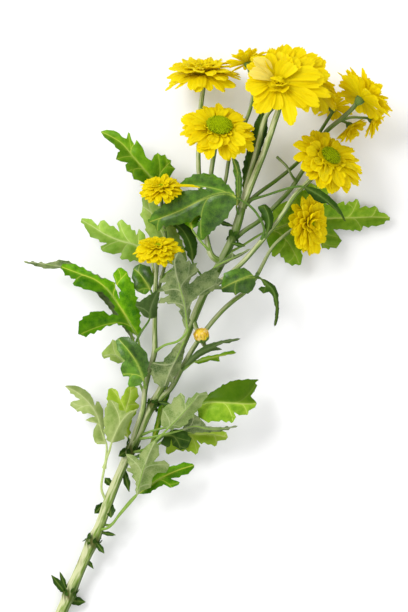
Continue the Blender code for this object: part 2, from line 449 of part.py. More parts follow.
        outline=((243.5, 192), (243, 175), (246, 155), (251, 137), (256, 120), (262, 110.5), (267, 117),
                 (267, 132), (261, 150), (254, 170), (249, 184)),
        midrib=((247.5, 172), (254, 148), (259.5, 127)),
        heights=(28, 30, 31), roll=-0.15, fold=0.15),
    "leaf_crown_narrow": dict(
        with_stem=True, on=("main", (239.5, 217)), way=(), tip=5,
        outline=((236.5, 207), (241, 198), (242, 184), (240.5, 170), (237, 160), (232, 156.5), (233.5, 168),
                 (235.5, 180), (235.5, 194)),
        midrib=((238.5, 190), (237.5, 172)),
        heights=(40, 41, 40), roll=0.3, fold=0.1),
}


def material(name, colour, roughness):
    """A plain Principled material."""
    made = bpy.data.materials.new(name)
    made.use_nodes = True
    shader = made.node_tree.nodes["Principled BSDF"]
    shader.inputs["Base Color"].default_value = (*colour, 1)
    shader.inputs["Roughness"].default_value = roughness
    shader.inputs["Metallic"].default_value = 0
    made.diffuse_color = (*colour, 1)
    return made


def solid_object(name, points, faces):
    """A new object from points in millimetres."""
    mesh = bpy.data.meshes.new(name)
    mesh.from_pydata([tuple(c * MM for c in point) for point in points], [], faces)
    made = bpy.data.objects.new(name, mesh)
    bpy.context.scene.collection.objects.link(made)
    return made


def rings_solid(rings):
    """Points and faces of a closed solid through rings that all have the same number of points."""
    sides = len(rings[0])
    points = [point for ring in rings for point in ring]
    faces = [tuple(range(sides))[::-1]]
    for level in range(len(rings) - 1):
        for side in range(sides):
            after = (side + 1) % sides
            low, high = level * sides, (level + 1) * sides
            faces.append((low + side, low + after, high + after, high + side))
    last = (len(rings) - 1) * sides
    faces.append(tuple(last + side for side in range(sides)))
    return points, faces


def tube(route, radii, sides):
    """A closed tube along 3-D points."""
    rings = []
    for index, (centre, radius) in enumerate(zip(route, radii)):
        ahead = route[min(index + 1, len(route) - 1)]
        behind = route[max(index - 1, 0)]
        along = (ahead - behind).normalized()
        aside = along.cross(Vector((0, 0, 1))).normalized()
        up = aside.cross(along)
        ring = []
        for side in range(sides):
            angle = 2 * math.pi * (side + 0.5) / sides - math.pi / 2
            ring.append(centre + radius * (math.cos(angle) * up + math.sin(angle) * aside))
        rings.append(ring)
    return rings_solid(rings)


def picture_route(control):
    """3-D points and radii of a route given as pixel, height and radius."""
    return [place(*point[:3]) for point in control], [point[3] for point in control]


def turned(profile, sides, frame):
    """A solid turned about a frame's Z: the profile gives radius and height from the axis."""
    rings = [
        [frame @ Vector((radius * math.cos(2 * math.pi * side / sides),
                         radius * math.sin(2 * math.pi * side / sides), height))
         for side in range(sides)]
        for radius, height in profile]
    return rings_solid(rings)


def flower_frame(bloom):
    """The matrix that takes a bloom's own axes, with +Z the way it faces, into the spray."""
    axis = Vector(bloom["faces"]).normalized()
    across = axis.cross(Vector((0, 1, 0)))
    across = across.normalized() if across.length > 0.05 else Vector((1, 0, 0))
    turned_up = axis.cross(across)
    frame = Matrix((across, turned_up, axis)).transposed().to_4x4()
    frame.translation = place(*bloom["at"])
    return frame


def one_body(made):
    """Keeps an object's largest body, without loose scraps or sealed hollows."""
    mesh = made.data
    parent = list(range(len(mesh.vertices)))

    def root(index):
        while parent[index] != index:
            parent[index] = parent[parent[index]]
            index = parent[index]
        return index

    for edge in mesh.edges:
        parent[root(edge.vertices[0])] = root(edge.vertices[1])
    volumes = {}
    for polygon in mesh.polygons:
        corners = [mesh.vertices[index].co for index in polygon.vertices]
        volume = sum(
            corners[0].dot(corners[at].cross(corners[at + 1])) for at in range(1, len(corners) - 1))
        key = root(polygon.vertices[0])
        volumes[key] = volumes.get(key, 0) + volume
    keep = max(volumes, key=volumes.get)
    kept = [polygon.vertices[:] for polygon in mesh.polygons if root(polygon.vertices[0]) == keep]
    used = sorted({index for face in kept for index in face})
    place_of = {index: at for at, index in enumerate(used)}
    clean = bpy.data.meshes.new(made.name)
    clean.from_pydata(
        [mesh.vertices[index].co.copy() for index in used], [],
        [tuple(place_of[index] for index in face) for face in kept])
    made.data = clean
    bpy.data.meshes.remove(mesh)


def fused(name, solids, finish):
    """One object from overlapping solids, each a pair of points and faces."""
    base = solid_object(name, *solids[0])
    if len(solids) > 1:
        others = bpy.data.collections.new(name + "_parts")
        bpy.context.scene.collection.children.link(others)
        for index, (points, faces) in enumerate(solids[1:]):
            piece = solid_object(f"{name}_part_{index}", points, faces)
            bpy.context.scene.collection.objects.unlink(piece)
            others.objects.link(piece)
        union = base.modifiers.new("union", "BOOLEAN")
        union.operation = "UNION"
        union.operand_type = "COLLECTION"
        union.collection = others
        union.solver = "MANIFOLD"
        graph = bpy.context.evaluated_depsgraph_get()
        joined = bpy.data.meshes.new_from_object(base.evaluated_get(graph))
        base.modifiers.clear()
        base.data = joined
        for piece in list(others.objects):
            bpy.data.objects.remove(piece)
        bpy.data.collections.remove(others)
        one_body(base)
    base.data.materials.clear()
    base.data.materials.append(finish)
    return base


def petal(frame, turn, reach, width, start, slopes, twist, sag, sections):
    """One petal: a thin blade that leaves the receptacle at start (radius, height)."""
    radial = Vector((math.cos(turn), math.sin(turn), 0))
    tangent = Vector((-math.sin(turn), math.cos(turn), 0))
    down = frame.to_3x3().inverted() @ Vector((0, -1, 0))
    centre = radial * start[0] + Vector((0, 0, start[1]))
    reached = 0.0
    rings = []
    for span, share in sections:
        slope = slopes[0] + (slopes[1] - slopes[0]) * span
        along = radial * math.cos(slope) + Vector((0, 0, math.sin(slope)))
        centre = centre + along * reach * (span - reached)
        reached = span
        spread = tangent * math.cos(twist * span) + along.cross(tangent) * math.sin(twist * span)
        half = spread * width * share / 2
        rise = along.cross(spread).normalized() * PETAL_THICKNESS / 2
        middle = centre + down * sag * span * span
        rings.append([middle - half - rise, middle + half - rise, middle + half + rise, middle - half + rise])
    return rings_solid([[frame @ point for point in ring] for ring in rings])


def build_bloom(name, bloom, seed, yellow, green):
    """The petals on their receptacle, and the disc that sits on it."""
    draw = random.Random(seed)
    frame = flower_frame(bloom)
    radius = BLOOM_RADIUS * bloom["size"]
    core = [(r * radius, h * radius) for r, h in CORE_PROFILE]
    solids = [turned(core, DISC_SIDES, frame)]
    for level, count in enumerate(bloom["rows"]):
        row = PETAL_ROWS[level]
        reach = row["reach"] * radius
        start = (row["start"][0] * radius, row["start"][1] * radius)
        widest = 2 * math.pi * (start[0] + WIDEST_AT * reach) / count * row["share"]
        for index in range(count):
            turn = 2 * math.pi * (index + 0.5 * level + draw.uniform(-TURN_SPREAD, TURN_SPREAD)) / count
            raised = bloom["cup"][0 if level == 0 else 1] + draw.uniform(-RAISE_SPREAD, RAISE_SPREAD)
            slopes = [math.radians(slope + raised) for slope in row["slopes"]]
            length = reach * draw.uniform(*REACH_RANGE)
            width = widest * draw.uniform(*WIDTH_RANGE)
            twist = math.radians(draw.uniform(-TWIST_SPREAD, TWIST_SPREAD))
            sections = INNER_PETAL if level else OUTER_PETAL
            solids.append(petal(frame, turn, length, width, start, slopes, twist, bloom["sag"], sections))
    fused(name + "_petals", solids, yellow)

    top = CORE_PROFILE[-1][1] * radius + CLEARANCE
    rings = []
    for level, (r, h) in enumerate(DISC_PROFILE):
        ring = []
        for side in range(DISC_SIDES):
            ridge = DISC_RIDGE * radius * (1 if side % 2 else -1) if level == 2 else 0
            angle = 2 * math.pi * side / DISC_SIDES
            ring.append(frame @ Vector((
                r * radius * math.cos(angle), r * radius * math.sin(angle), h * radius + top + ridge)))
        rings.append(ring)
    points, faces = rings_solid(rings)
    points.append(frame @ Vector((0, 0, top + DISC_TOP * radius)))
    crown = faces.pop()
    for side in range(DISC_SIDES):
        faces.append((crown[side], crown[(side + 1) % DISC_SIDES], len(points) - 1))
    fused(name + "_disc", [(points, faces)], green)


def cup(bloom):
    """The green cup of bracts under a bloom, and where its pedicel enters it."""
    frame = flower_frame(bloom)
    radius = BLOOM_RADIUS * bloom["size"]
    top = CORE_PROFILE[0][1] * radius - CLEARANCE
    profile = [(r * radius, h * radius + top) for r, h in CUP_PROFILE]
    foot = frame @ Vector((0, 0, top + (CUP_PROFILE[0][1] + PEDICEL_IN_CUP) * radius))
    return turned(profile, CUP_SIDES, frame), foot


def leaflet(root, tip, width):
    """A small pointed leaf, thick enough to stand by itself, with its root in the stem."""
    start, end = place(*root), place(*tip)
    along = (end - start).normalized()
    aside = along.cross(Vector((0, 0, 1))).normalized()
    rise = aside.cross(along) * LEAF_THICKNESS / 2
    rings = []
    for span, share in LEAFLET_SECTIONS:
        middle = start.lerp(end, span)
        half = aside * width * share / 2
        rings.append([middle - half + rise, middle + half + rise, middle + half - rise, middle - half - rise])
    return rings_solid(rings)


def build_stem(green):
    """The main stem, its branches, the cups under the blooms and the small leaves at its nodes."""
    route, radii = picture_route(MAIN_STEM)
    solids = [tube(route, radii, MAIN_STEM_SIDES)]
    feet = {"bud": flower_frame(BUD) @ Vector((0, 0, BUD_PROFILE[0][1] - CLEARANCE))}
    for name, bloom in BLOOMS.items():
        shape, foot = cup(bloom)
        solids.append(shape)
        feet[CARRIED_BY[name]] = foot
    for name, control in BRANCHES.items():
        route, radii = picture_route(control)
        if name in feet:
            route.append(feet[name])
            radii.append(radii[-1])
        solids.append(tube(route, radii, BRANCH_SIDES))
    for root, tip, width in LEAFLETS:
        solids.append(leaflet(root, tip, width))
    for leaf in LEAVES.values():
        if leaf.get("with_stem"):
            solids += leaf_solids(leaf)
    fused("stem", solids, green)


def leaf_height(leaf):
    """The height of a leaf's middle surface as a function of a point in the picture plane."""
    base = place(*leaf["outline"][0], leaf["heights"][0]).xy
    tip = place(*leaf["outline"][leaf["tip"]], leaf["heights"][2]).xy
    chord = tip - base
    length = chord.length
    forward = chord / length
    left = Vector((-forward.y, forward.x))
    ribs = [leaf["outline"][0], *leaf["midrib"], leaf["outline"][leaf["tip"]]]
    rib_places = [place(*pixel, leaf["heights"][1]).xy - base for pixel in ribs]
    rib_spans = [(point.dot(forward), point.dot(left)) for point in rib_places]
    low, middle, high = leaf["heights"]

    def rib_offset(along):
        for (start, offset), (end, following) in zip(rib_spans, rib_spans[1:]):
            if along <= end or (end, following) == rib_spans[-1]:
                share = min(max((along - start) / max(end - start, 1e-6), 0), 1)
                return offset + (following - offset) * share
        return 0.0

    def height(point):
        along = (point - base).dot(forward)
        across = (point - base).dot(left)
        span = min(max(along / length, -0.25), 1.15)
        curve = low + (4 * middle - 3 * low - high) * span + (2 * low + 2 * high - 4 * middle) * span * span
        return curve + leaf["roll"] * across + leaf["fold"] * abs(across - rib_offset(along))

    return height


def leaf_blade(leaf):
    """Points and faces of the blade: its outline filled with triangles, given its thickness."""
    height = leaf_height(leaf)
    outline = [place(*pixel, leaf["heights"][1]).xy for pixel in leaf["outline"]]
    ribs = [place(*pixel, leaf["heights"][1]).xy for pixel in leaf["midrib"]]
    count = len(outline)
    edges = [(index, (index + 1) % count) for index in range(count)]
    chain = [0, *range(count, count + len(ribs)), leaf["tip"]]
    edges += list(zip(chain, chain[1:]))
    area = sum(
        outline[at - 1].x * outline[at].y - outline[at].x * outline[at - 1].y for at in range(count))
    order = list(range(count)) if area > 0 else list(range(count))[::-1]
    flat, _, triangles, *_ = delaunay_2d_cdt(outline + ribs, edges, [order], 1, 1e-6)
    middle = [Vector((point.x, point.y, height(point))) for point in flat]
    normals = [Vector() for _ in middle]
    facing = []
    for corners in triangles:
        corners = list(corners)
        a, b, c = (middle[corner] for corner in corners[:3])
        normal = (b - a).cross(c - a)
        if normal.z < 0:
            corners.reverse()
            normal.negate()
        facing.append(tuple(corners))
        for corner in corners:
            normals[corner] += normal
    half = LEAF_THICKNESS / 2
    top = [point + normal.normalized() * half for point, normal in zip(middle, normals)]
    under = [point - normal.normalized() * half for point, normal in zip(middle, normals)]
    size = len(middle)
    faces = list(facing) + [tuple(corner + size for corner in face[::-1]) for face in facing]
    sides = {pair: True for face in facing for pair in zip(face, face[1:] + face[:1])}
    for start, end in sides:
        if (end, start) not in sides:
            faces.append((end, start, start + size))
            faces.append((end, start + size, end + size))
    return top + under, faces


def point_on_stem(route_name, pixel):
    """The point of a stem route nearest to a pixel, the radius and the way the route runs there."""
    control = MAIN_STEM if route_name == "main" else BRANCHES[route_name]
    found = []
    for start, end in zip(control, control[1:]):
        along = (place(*end[:3]) - place(*start[:3])).normalized()
        for step in range(11):
            point = [a + (b - a) * step / 10 for a, b in zip(start, end)]
            found.append((math.hypot(point[0] - pixel[0], point[1] - pixel[1]), point, along))
    _, point, along = min(found, key=lambda entry: entry[0])
    return place(*point[:3]), point[3], along


def leaf_solids(leaf):
    """The blade and the petiole, which starts just clear of the stem or, in its node, inside it."""
    height = leaf_height(leaf)
    grown_from, stem_radius, stem_way = point_on_stem(*leaf["on"])
    way = [place(*point) for point in leaf["way"]]
    for pixel in [leaf["outline"][0], *leaf["midrib"]][:2]:
        spot = place(*pixel, leaf["heights"][0])
        way.append(Vector((spot.x, spot.y, height(spot.xy))))
    toward = way[0] - grown_from
    outward = (toward - toward.dot(stem_way) * stem_way).normalized()
    if leaf.get("with_stem"):
        route = [grown_from, *way]
    else:
        start = grown_from + outward * (stem_radius + CLEARANCE + PETIOLE_ROOT_RADIUS)
        onward = (way[0] - start).normalized()
        bend = min(PETIOLE_BEND, (way[0] - start).length / 2)
        route = [start, start + (onward + outward / 2).normalized() * bend, *way]
    radii = [PETIOLE_ROOT_RADIUS] + [PETIOLE_RADIUS] * (len(route) - 2) + [PETIOLE_RADIUS * PETIOLE_END]
    return [leaf_blade(leaf), tube(route, radii, PETIOLE_SIDES)]


def build_bud(yellow):
    """The closed bud."""
    frame = flower_frame(BUD)
    rings = []
    for level, (radius, along) in enumerate(BUD_PROFILE):
        ring = []
        for side in range(CUP_SIDES):
            angle = 2 * math.pi * (side + BUD_TWIST * level) / CUP_SIDES
            wide = radius * (1 + (BUD_RIDGE if side % 2 else -BUD_RIDGE))
            ring.append(frame @ Vector((wide * math.cos(angle), wide * math.sin(angle), along)))
        rings.append(ring)
    points, faces = rings_solid(rings)
    fused("bud", [(points, faces)], yellow)


def main():
    for old in list(bpy.data.objects):
        bpy.data.objects.remove(old)
    yellow = material("petal_yellow", (0.86, 0.72, 0.02), 0.5)
    disc_green = material("disc_green", (0.36, 0.50, 0.04), 0.6)
    stem_green = material("stem_green", (0.45, 0.55, 0.22), 0.5)
    leaf_green = material("leaf_green", (0.10, 0.30, 0.05), 0.5)
    bud_yellow = material("bud_yellow", (0.85, 0.55, 0.12), 0.5)
    build_stem(stem_green)
    for seed, (name, bloom) in enumerate(BLOOMS.items(), 1):
        build_bloom(name, bloom, seed, yellow, disc_green)
    for name, leaf in LEAVES.items():
        if not leaf.get("with_stem"):
            fused(name, leaf_solids(leaf), leaf_green)
    build_bud(bud_yellow)


main()
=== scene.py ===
"""Looks of a cut spray of yellow pompon chrysanthemums that lies on a pale floor.

Each solid of the frame is stood for by finer pieces that keep its form: petals in their layers,
florets on the discs, bracts under the blooms, veined leaves, and a ribbed stem with short hairs.
Sizes are in millimetres here and become metres as each mesh is made.
"""
import math
import random

import bpy
import numpy as np
from mathutils import Matrix, Vector
from mathutils.geometry import delaunay_2d_cdt
from mathutils.kdtree import KDTree


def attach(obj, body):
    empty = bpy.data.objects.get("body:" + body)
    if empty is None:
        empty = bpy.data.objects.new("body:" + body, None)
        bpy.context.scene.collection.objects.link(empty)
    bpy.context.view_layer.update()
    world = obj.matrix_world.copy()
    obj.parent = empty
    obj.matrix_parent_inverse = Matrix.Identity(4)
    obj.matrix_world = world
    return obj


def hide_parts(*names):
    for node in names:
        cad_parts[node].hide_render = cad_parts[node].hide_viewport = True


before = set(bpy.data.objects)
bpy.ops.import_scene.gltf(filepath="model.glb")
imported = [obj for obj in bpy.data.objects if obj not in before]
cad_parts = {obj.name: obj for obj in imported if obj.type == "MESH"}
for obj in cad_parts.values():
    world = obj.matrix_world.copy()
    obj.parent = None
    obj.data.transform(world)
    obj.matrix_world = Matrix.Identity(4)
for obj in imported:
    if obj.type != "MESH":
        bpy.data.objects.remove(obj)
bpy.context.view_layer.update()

MM = 0.001
UP = np.array((0.0, 0.0, 1.0))

# Driving dimensions, in millimetres
BLOOM_RADIUS = 26.0
PIXEL = 0.667  # what one picture pixel spans at FOCUS_HEIGHT
PICTURE_HEIGHT = 612  # in pixels
EYE_HEIGHT = 3000.0
FOCUS_HEIGHT = 35.0
VIEW_PIXEL = (204.0, 306.0)  # the pixel straight below the eye
VIEW_PLACE = (-2.056, 31.579)  # where that pixel lies from the middle of the spray's box
CLEARANCE = 0.3  # between two pieces that touch


def place(px, py, z):
    """The point at height z that shows at picture pixel (px, py)."""
    spread = PIXEL * (EYE_HEIGHT - z) / (EYE_HEIGHT - FOCUS_HEIGHT)
    return Vector((
        (px - VIEW_PIXEL[0]) * spread + VIEW_PLACE[0],
        (VIEW_PIXEL[1] - py) * spread + VIEW_PLACE[1],
        z,
    ))


# Rows of petals from the outside in: how many, reach and start (radius, height) against the bloom's
# radius, slopes at root and tip in degrees, the curl of the tip in degrees, how much of its share
# of the ring each petal fills, and how deeply it is cupped.
LOWER_ROWS = (
    (16, 0.74, (0.29, -0.10), (0, -18), -8, 0.86, 0.06),
    (15, 0.74, (0.30, -0.075), (9, -10), -4, 0.84, 0.09),
    (14, 0.68, (0.30, -0.05), (18, -2), 0, 0.8, 0.12),
)
OPEN_ROWS = LOWER_ROWS + (
    (9, 0.47, (0.31, -0.03), (27, 8), 10, 0.6, 0.16),
    (11, 0.17, (0.32, -0.01), (56, 50), 75, 0.6, 0.3),
)
FULL_ROWS = LOWER_ROWS + (
    (13, 0.55, (0.26, -0.01), (28, 14), 18, 0.7, 0.2),
    (11, 0.44, (0.18, 0.0), (42, 28), 36, 0.7, 0.28),
    (8, 0.34, (0.09, 0.0), (60, 46), 60, 0.8, 0.3),
)
SPIKY_ROWS = (
    (13, 0.76, (0.26, -0.10), (4, -10), 0, 0.52, 0.2),
    (11, 0.76, (0.26, -0.06), (18, 4), 5, 0.48, 0.25),
    (8, 0.62, (0.2, -0.02), (36, 24), 10, 0.42, 0.3),
    (5, 0.4, (0.1, 0.0), (66, 60), 20, 0.5, 0.3),
)
# Petals set one by one: turn about the bloom in degrees (0 is left in the picture, 90 down),
# length and width in pixels, root radius against the bloom's, slopes, curl, cup and material, where
# 1 is a paler copy of the petal colour that paints a highlight on petals standing in the light.
CROWN_PETALS = (
    (242, 23, 21, 0.08, (50, 20), -10, 0.16, 0),
    (225, 27, 15, 0.15, (34, 14), -10, 0.2, 0),
    (258, 28, 25, 0.12, (30, 10), -10, 0.12, 0),
    (262, 37, 19, 0.15, (12, 2), -10, 0.2, 0),
    (284, 32, 16, 0.15, (22, 6), 0, 0.2, 0),
    (292, 27, 13, 0.15, (40, 18), 0, 0.25, 0),
    (312, 27, 13, 0.3, (60, 26), 10, 0.3, 1),
    (340, 27, 15, 0.15, (42, 10), 0, 0.3, 1),
    (350, 25, 13, 0.2, (14, -10), 0, 0.2, 0),
    (212, 38, 14, 0.2, (16, 4), 0, 0.15, 0),
    (198, 37, 17, 0.2, (24, -2), 0, 0.1, 0),
    (188, 46, 18, 0.2, (4, -6), 0, 0.12, 0),
    (176, 40, 16, 0.2, (16, -8), 0, 0.15, 0),
    (164, 48, 15, 0.2, (2, -8), 0, 0.12, 0),
    (152, 42, 14, 0.2, (10, -10), 0, 0.16, 0),
    (96, 13, 17, 0.05, (66, 46), 50, 0.1, 0),
    (84, 9, 10, 0.2, (56, 40), 90, 0.1, 0),
    (74, 10, 9, 0.26, (60, 50), 90, 0.1, 0),
    (120, 12, 10, 0.26, (64, 40), 80, 0.1, 0),
    (56, 28, 16, 0.3, (2, -22), -10, 0.1, 0),
    (68, 27, 15, 0.3, (14, -20), -10, 0.1, 0),
    (84, 20, 13, 0.3, (16, -20), -10, 0.2, 0),
    (112, 37, 15, 0.3, (2, -12), -6, 0.14, 0),
    (130, 28, 14, 0.3, (12, -14), 0, 0.14, 0),
    (24, 20, 12, 0.3, (20, -10), 0, 0.2, 0),
    (40, 22, 12, 0.3, (8, -10), 0, 0.2, 0),
    (8, 25, 14, 0.25, (10, -12), 0, 0.2, 0),
    (312, 30, 16, 0.25, (14, -2), 0, 0.2, 0),
    (332, 28, 14, 0.25, (10, -6), 0, 0.2, 0),
    (232, 38, 17, 0.25, (6, -4), 0, 0.2, 0),
    (218, 44, 17, 0.25, (2, -6), 0, 0.2, 0),
    (205, 46, 18, 0.25, (0, -8), 0, 0.2, 0),
    (142, 34, 14, 0.25, (2, -14), 0, 0.2, 0),
    (20, 8, 9, 0.05, (72, 60), 60, 0.2, 0),
    (150, 8, 9, 0.05, (72, 60), 60, 0.2, 0),
    (232, 12, 11, 0.12, (98, 160), 10, 0.2, 0),
    (268, 14, 16, 0.1, (92, 158), 10, 0.15, 0),
    (308, 12, 11, 0.12, (98, 160), 10, 0.2, 0),
)
# Blooms: picture pixel and height of the middle of the petals, the way the flower faces, its
# radius against BLOOM_RADIUS, how far tips sag, the degrees that its outer rows and its inner rows
# are raised by, the branch that carries it, its rows of petals, and its disc's radius against the
# bloom's. Some give the height of the disc against its radius, how narrow the receptacle is
# against the frame's, how pale the florets' tips are (shade, which below 1 darkens the disc as
# painted shade, most of all in the crown, whose hidden disc shows as a dark slit), how short the
# petals at the sides are, and petals set one by one.
BLOOMS = {
    "bloom_front": dict(
        at=(219, 127, 54), faces=(0.13, 0.72, 0.68), size=1.0, sag=1.5, cup=(0, 0), branch="front",
        rows=OPEN_ROWS, disc=0.33, dome=0.3, core=1.0, shade=0.9),
    "bloom_right": dict(
        at=(330, 157, 39), faces=(0.48, 0.60, 0.64), size=1.0, sag=2.0, cup=(0, 0), branch="pale",
        rows=OPEN_ROWS, disc=0.26, dome=0.3, core=1.0, shade=0.7),
    "bloom_top_left": dict(
        at=(203, 71, 26.01), faces=(-0.08, 0.96, 0.26), size=1.0, sag=4.0, cup=(5, 18),
        branch="left_top", rows=FULL_ROWS, disc=0.14),
    "bloom_top_middle": dict(
        at=(247.5, 61, 43.5), faces=(-0.15, 0.93, -0.33), size=0.58, sag=0.5, cup=(10, 10),
        branch="top_middle", rows=SPIKY_ROWS, disc=0.16),
    "bloom_crown": dict(
        at=(278, 81, 65.5), faces=(0.0, 0.38, 0.92), size=0.88, sag=1.0, cup=(4, 4),
        branch="crown", rows=(), disc=0.06, dome=0.1, core=1.0, shade=0.1, special=CROWN_PETALS),
    "bloom_crown_back": dict(
        at=(312, 84, 32.5), faces=(0.5, 0.72, -0.48), size=0.85, sag=2.0, cup=(0, 0),
        branch="crown_back", rows=FULL_ROWS, disc=0.14),
    "bloom_corner_high": dict(
        at=(363, 96.5, 47), faces=(0.64, 0.70, -0.32), size=0.88, sag=0.0, cup=(14, 14),
        branch="dark", rows=FULL_ROWS, disc=0.14, core=0.42),
    "bloom_corner_side": dict(
        at=(373.5, 120.5, 19), faces=(0.9, -0.4, -0.1), size=0.48, sag=0.5, cup=(8, 8),
        branch="corner_side", rows=SPIKY_ROWS, disc=0.16),
    "bloom_corner_back": dict(
        at=(333, 107, 11.5), faces=(0.1, 0.75, -0.65), size=0.55, sag=0.5, cup=(10, 10),
        branch="upper", rows=SPIKY_ROWS, disc=0.16),
    "bloom_corner_low": dict(
        at=(351, 127.5, 12.76), faces=(0.6, -0.77, 0.2), size=0.5, sag=0.5, cup=(16, 16),
        branch="corner_low", rows=SPIKY_ROWS, disc=0.16),
    "bloom_lower_right": dict(
        at=(310, 223, 26.5), faces=(0.68, -0.05, 0.73), size=0.82, sag=1.0, cup=(5, 5),
        branch="right", rows=FULL_ROWS, disc=0.14, squeeze=0.76),
    "bloom_left_high": dict(
        at=(161, 187.5, 46), faces=(-0.05, 0.82, 0.57), size=0.58, sag=1.0, cup=(5, 5),
        branch="left_high", rows=FULL_ROWS, disc=0.14,
        special=((184, 35, 5, 0.2, (10, 2), 0, 0.3, 0),)),
    "bloom_left_low": dict(
        at=(158, 247, 45), faces=(0.0, 0.85, 0.52), size=0.66, sag=2.0, cup=(5, 5),
        branch="left", rows=FULL_ROWS, disc=0.14),
}
# Stem routes: picture pixel, height and radius of each point.
MAIN_STEM = ((50, 650, 3.68, 4.0), (61.6, 612, 6.6, 4.0), (66, 602, 7.2, 3.9),
    (69.5, 593, 7.8, 4.5), (74, 583, 8.5, 3.8), (88, 551, 10.7, 3.8), (92.5, 541, 11.4, 4.4),
    (98, 530, 12.1, 3.6), (110, 497, 14.3, 3.3), (127, 457, 17.0, 3.1), (131, 449, 17.5, 3.8),
    (137, 439, 18.2, 2.8), (149.2, 411, 20.1, 2.7), (152.7, 404.5, 20.6, 3.4),
    (158, 395, 21.3, 2.7), (180, 350, 24.2, 2.6), (206, 290, 28.3, 2.6), (219, 266, 30.2, 3.0),
    (233, 237, 32.0, 2.8), (238, 222, 33.0, 2.8), (243, 203, 34.0, 2.7))
BRANCHES = {
    "left": ((131, 448, 17.5, 1.8), (136, 431, 20.5, 1.8), (143, 409, 22.5, 1.7),
        (145, 390, 23.5, 1.7), (149, 372, 24.5, 1.7), (154.5, 352, 26.0, 1.8),
        (154.7, 330, 28.0, 1.6), (155.5, 290, 32.0, 1.4), (156.5, 272, 36.0, 1.3)),
    "left_high": ((155.2, 305, 30.0, 1.2), (160, 284, 28.5, 1.1), (165, 262, 26.0, 1.1),
        (165.5, 236, 25.5, 1.1), (162, 214, 30.0, 1.1)),
    "right": ((159, 400, 21.0, 1.8), (171, 388, 24.5, 1.7), (180.5, 371, 27.0, 1.7),
        (191, 352, 29.5, 1.6), (205, 331, 31.0, 1.5), (221, 312, 31.5, 1.5), (233, 301, 30.0, 1.5),
        (246, 291, 28.5, 1.4), (256, 277, 26.0, 1.3), (272, 248, 22.5, 1.1), (284, 236, 21.0, 1.1)),
    "pale": ((205, 293, 28.5, 1.6), (226, 277, 33.0, 1.6), (241, 264, 36.0, 1.6),
        (264, 238, 39.0, 1.6), (282, 215, 40.0, 1.5), (295, 195, 39.5, 1.5), (309, 181, 36.0, 1.5)),
    "dark": ((230, 243, 31.5, 1.6), (244, 231, 30.5, 1.5), (259, 221, 29.0, 1.4),
        (272, 209, 27.5, 1.4), (290, 190, 24.0, 1.4), (305, 167, 18.0, 1.4), (316, 147, 14.0, 1.4),
        (325, 133, 18.0, 1.5), (341, 119, 32.0, 1.5), (351, 110, 43.0, 1.5)),
    "corner_side": ((339, 121, 30.0, 1.0), (350, 117.5, 27.5, 0.9), (360, 117.5, 23.5, 0.9)),
    "corner_low": ((324, 134, 18.5, 1.2), (333, 126, 16.0, 1.0), (340, 121, 14.5, 0.9)),
    "upper": ((240, 211, 33.5, 1.4), (255, 196, 31.5, 1.3), (278, 179, 26.0, 1.2),
        (301, 159, 18.5, 1.2), (316, 138, 13.0, 1.2), (325, 124, 13.0, 1.1)),
    "crown": ((242, 207, 33.8, 2.4), (255, 175, 38.0, 2.1), (265, 150, 42.0, 2.0),
        (274, 123, 48.0, 2.0), (279, 106, 54.0, 1.9)),
    "crown_back": ((240, 214, 33.3, 2.0), (248, 182, 34.0, 1.7), (257, 150, 36.5, 1.7),
        (268, 113, 38.5, 1.6), (283, 101, 37.5, 1.6)),
    "left_top": ((221, 262, 30.5, 2.0), (212, 256, 32.0, 1.9), (207, 240, 33.0, 1.8),
        (204, 220, 33.0, 1.7), (201, 196, 32.5, 1.6), (198.5, 165, 31.0, 1.5),
        (199, 130, 29.0, 1.5), (201.5, 101, 27.0, 1.5)),
    "front": ((205, 226, 33.0, 1.6), (209, 196, 36.0, 1.5), (211, 174, 39.0, 1.5),
        (214, 154, 43.0, 1.5)),
    "top_middle": ((206, 229, 33.0, 1.4), (216, 206, 34.0, 1.3), (225, 182, 35.0, 1.2),
        (230, 156, 35.0, 1.2), (242, 130, 33.0, 1.2), (251, 106, 36.0, 1.2), (253, 88, 38.5, 1.2)),
    "bud": ((193, 320, 26.2, 1.5), (200, 337, 30.0, 1.3), (204.6, 345.8, 35.0, 1.3)),
    "hooked_twig": ((296, 181, 24.0, 0.9), (292, 176, 27.0, 0.8), (287, 167, 29.0, 0.8),
        (277, 157, 30.0, 0.9)),
}
# The closed bud, and its outline as radius and place along its axis.
BUD = dict(at=(201.5, 335.5, 41), faces=(-0.2, 0.75, 0.6))
BUD_PROFILE = ((1.4, -4.6), (3.9, -2.6), (4.6, 0.2), (3.4, 3.0), (1.0, 4.4))
# Small leaves at the stem's nodes, fused to it: root and tip (pixel, height), and width.
LEAFLETS = (
    ((68, 596, 9), (52, 576, 11), 5.0), ((68, 595, 9), (60, 572, 14), 3.4),
    ((66, 600, 6), (85, 602, 4), 6.0), ((84, 556, 11), (93, 568, 8), 3.0),
    ((95, 541, 14), (104, 553, 16), 4.0), ((99, 532, 13), (115, 535, 15), 3.0),
    ((106, 502, 13), (95, 513, 10.5), 6.0), ((109, 501, 14), (111, 517, 14.5), 7.0),
    ((112, 486, 14), (105, 478, 13), 5.0), ((130, 449, 18), (119, 456, 22), 5.5),
    ((123, 466, 15), (129, 491, 13), 4.5), ((158, 402, 23), (170, 404, 25), 3.0),
    ((233, 226, 33), (219, 222, 36), 3.2), ((231, 243, 34), (245, 246, 36), 3.0),
)
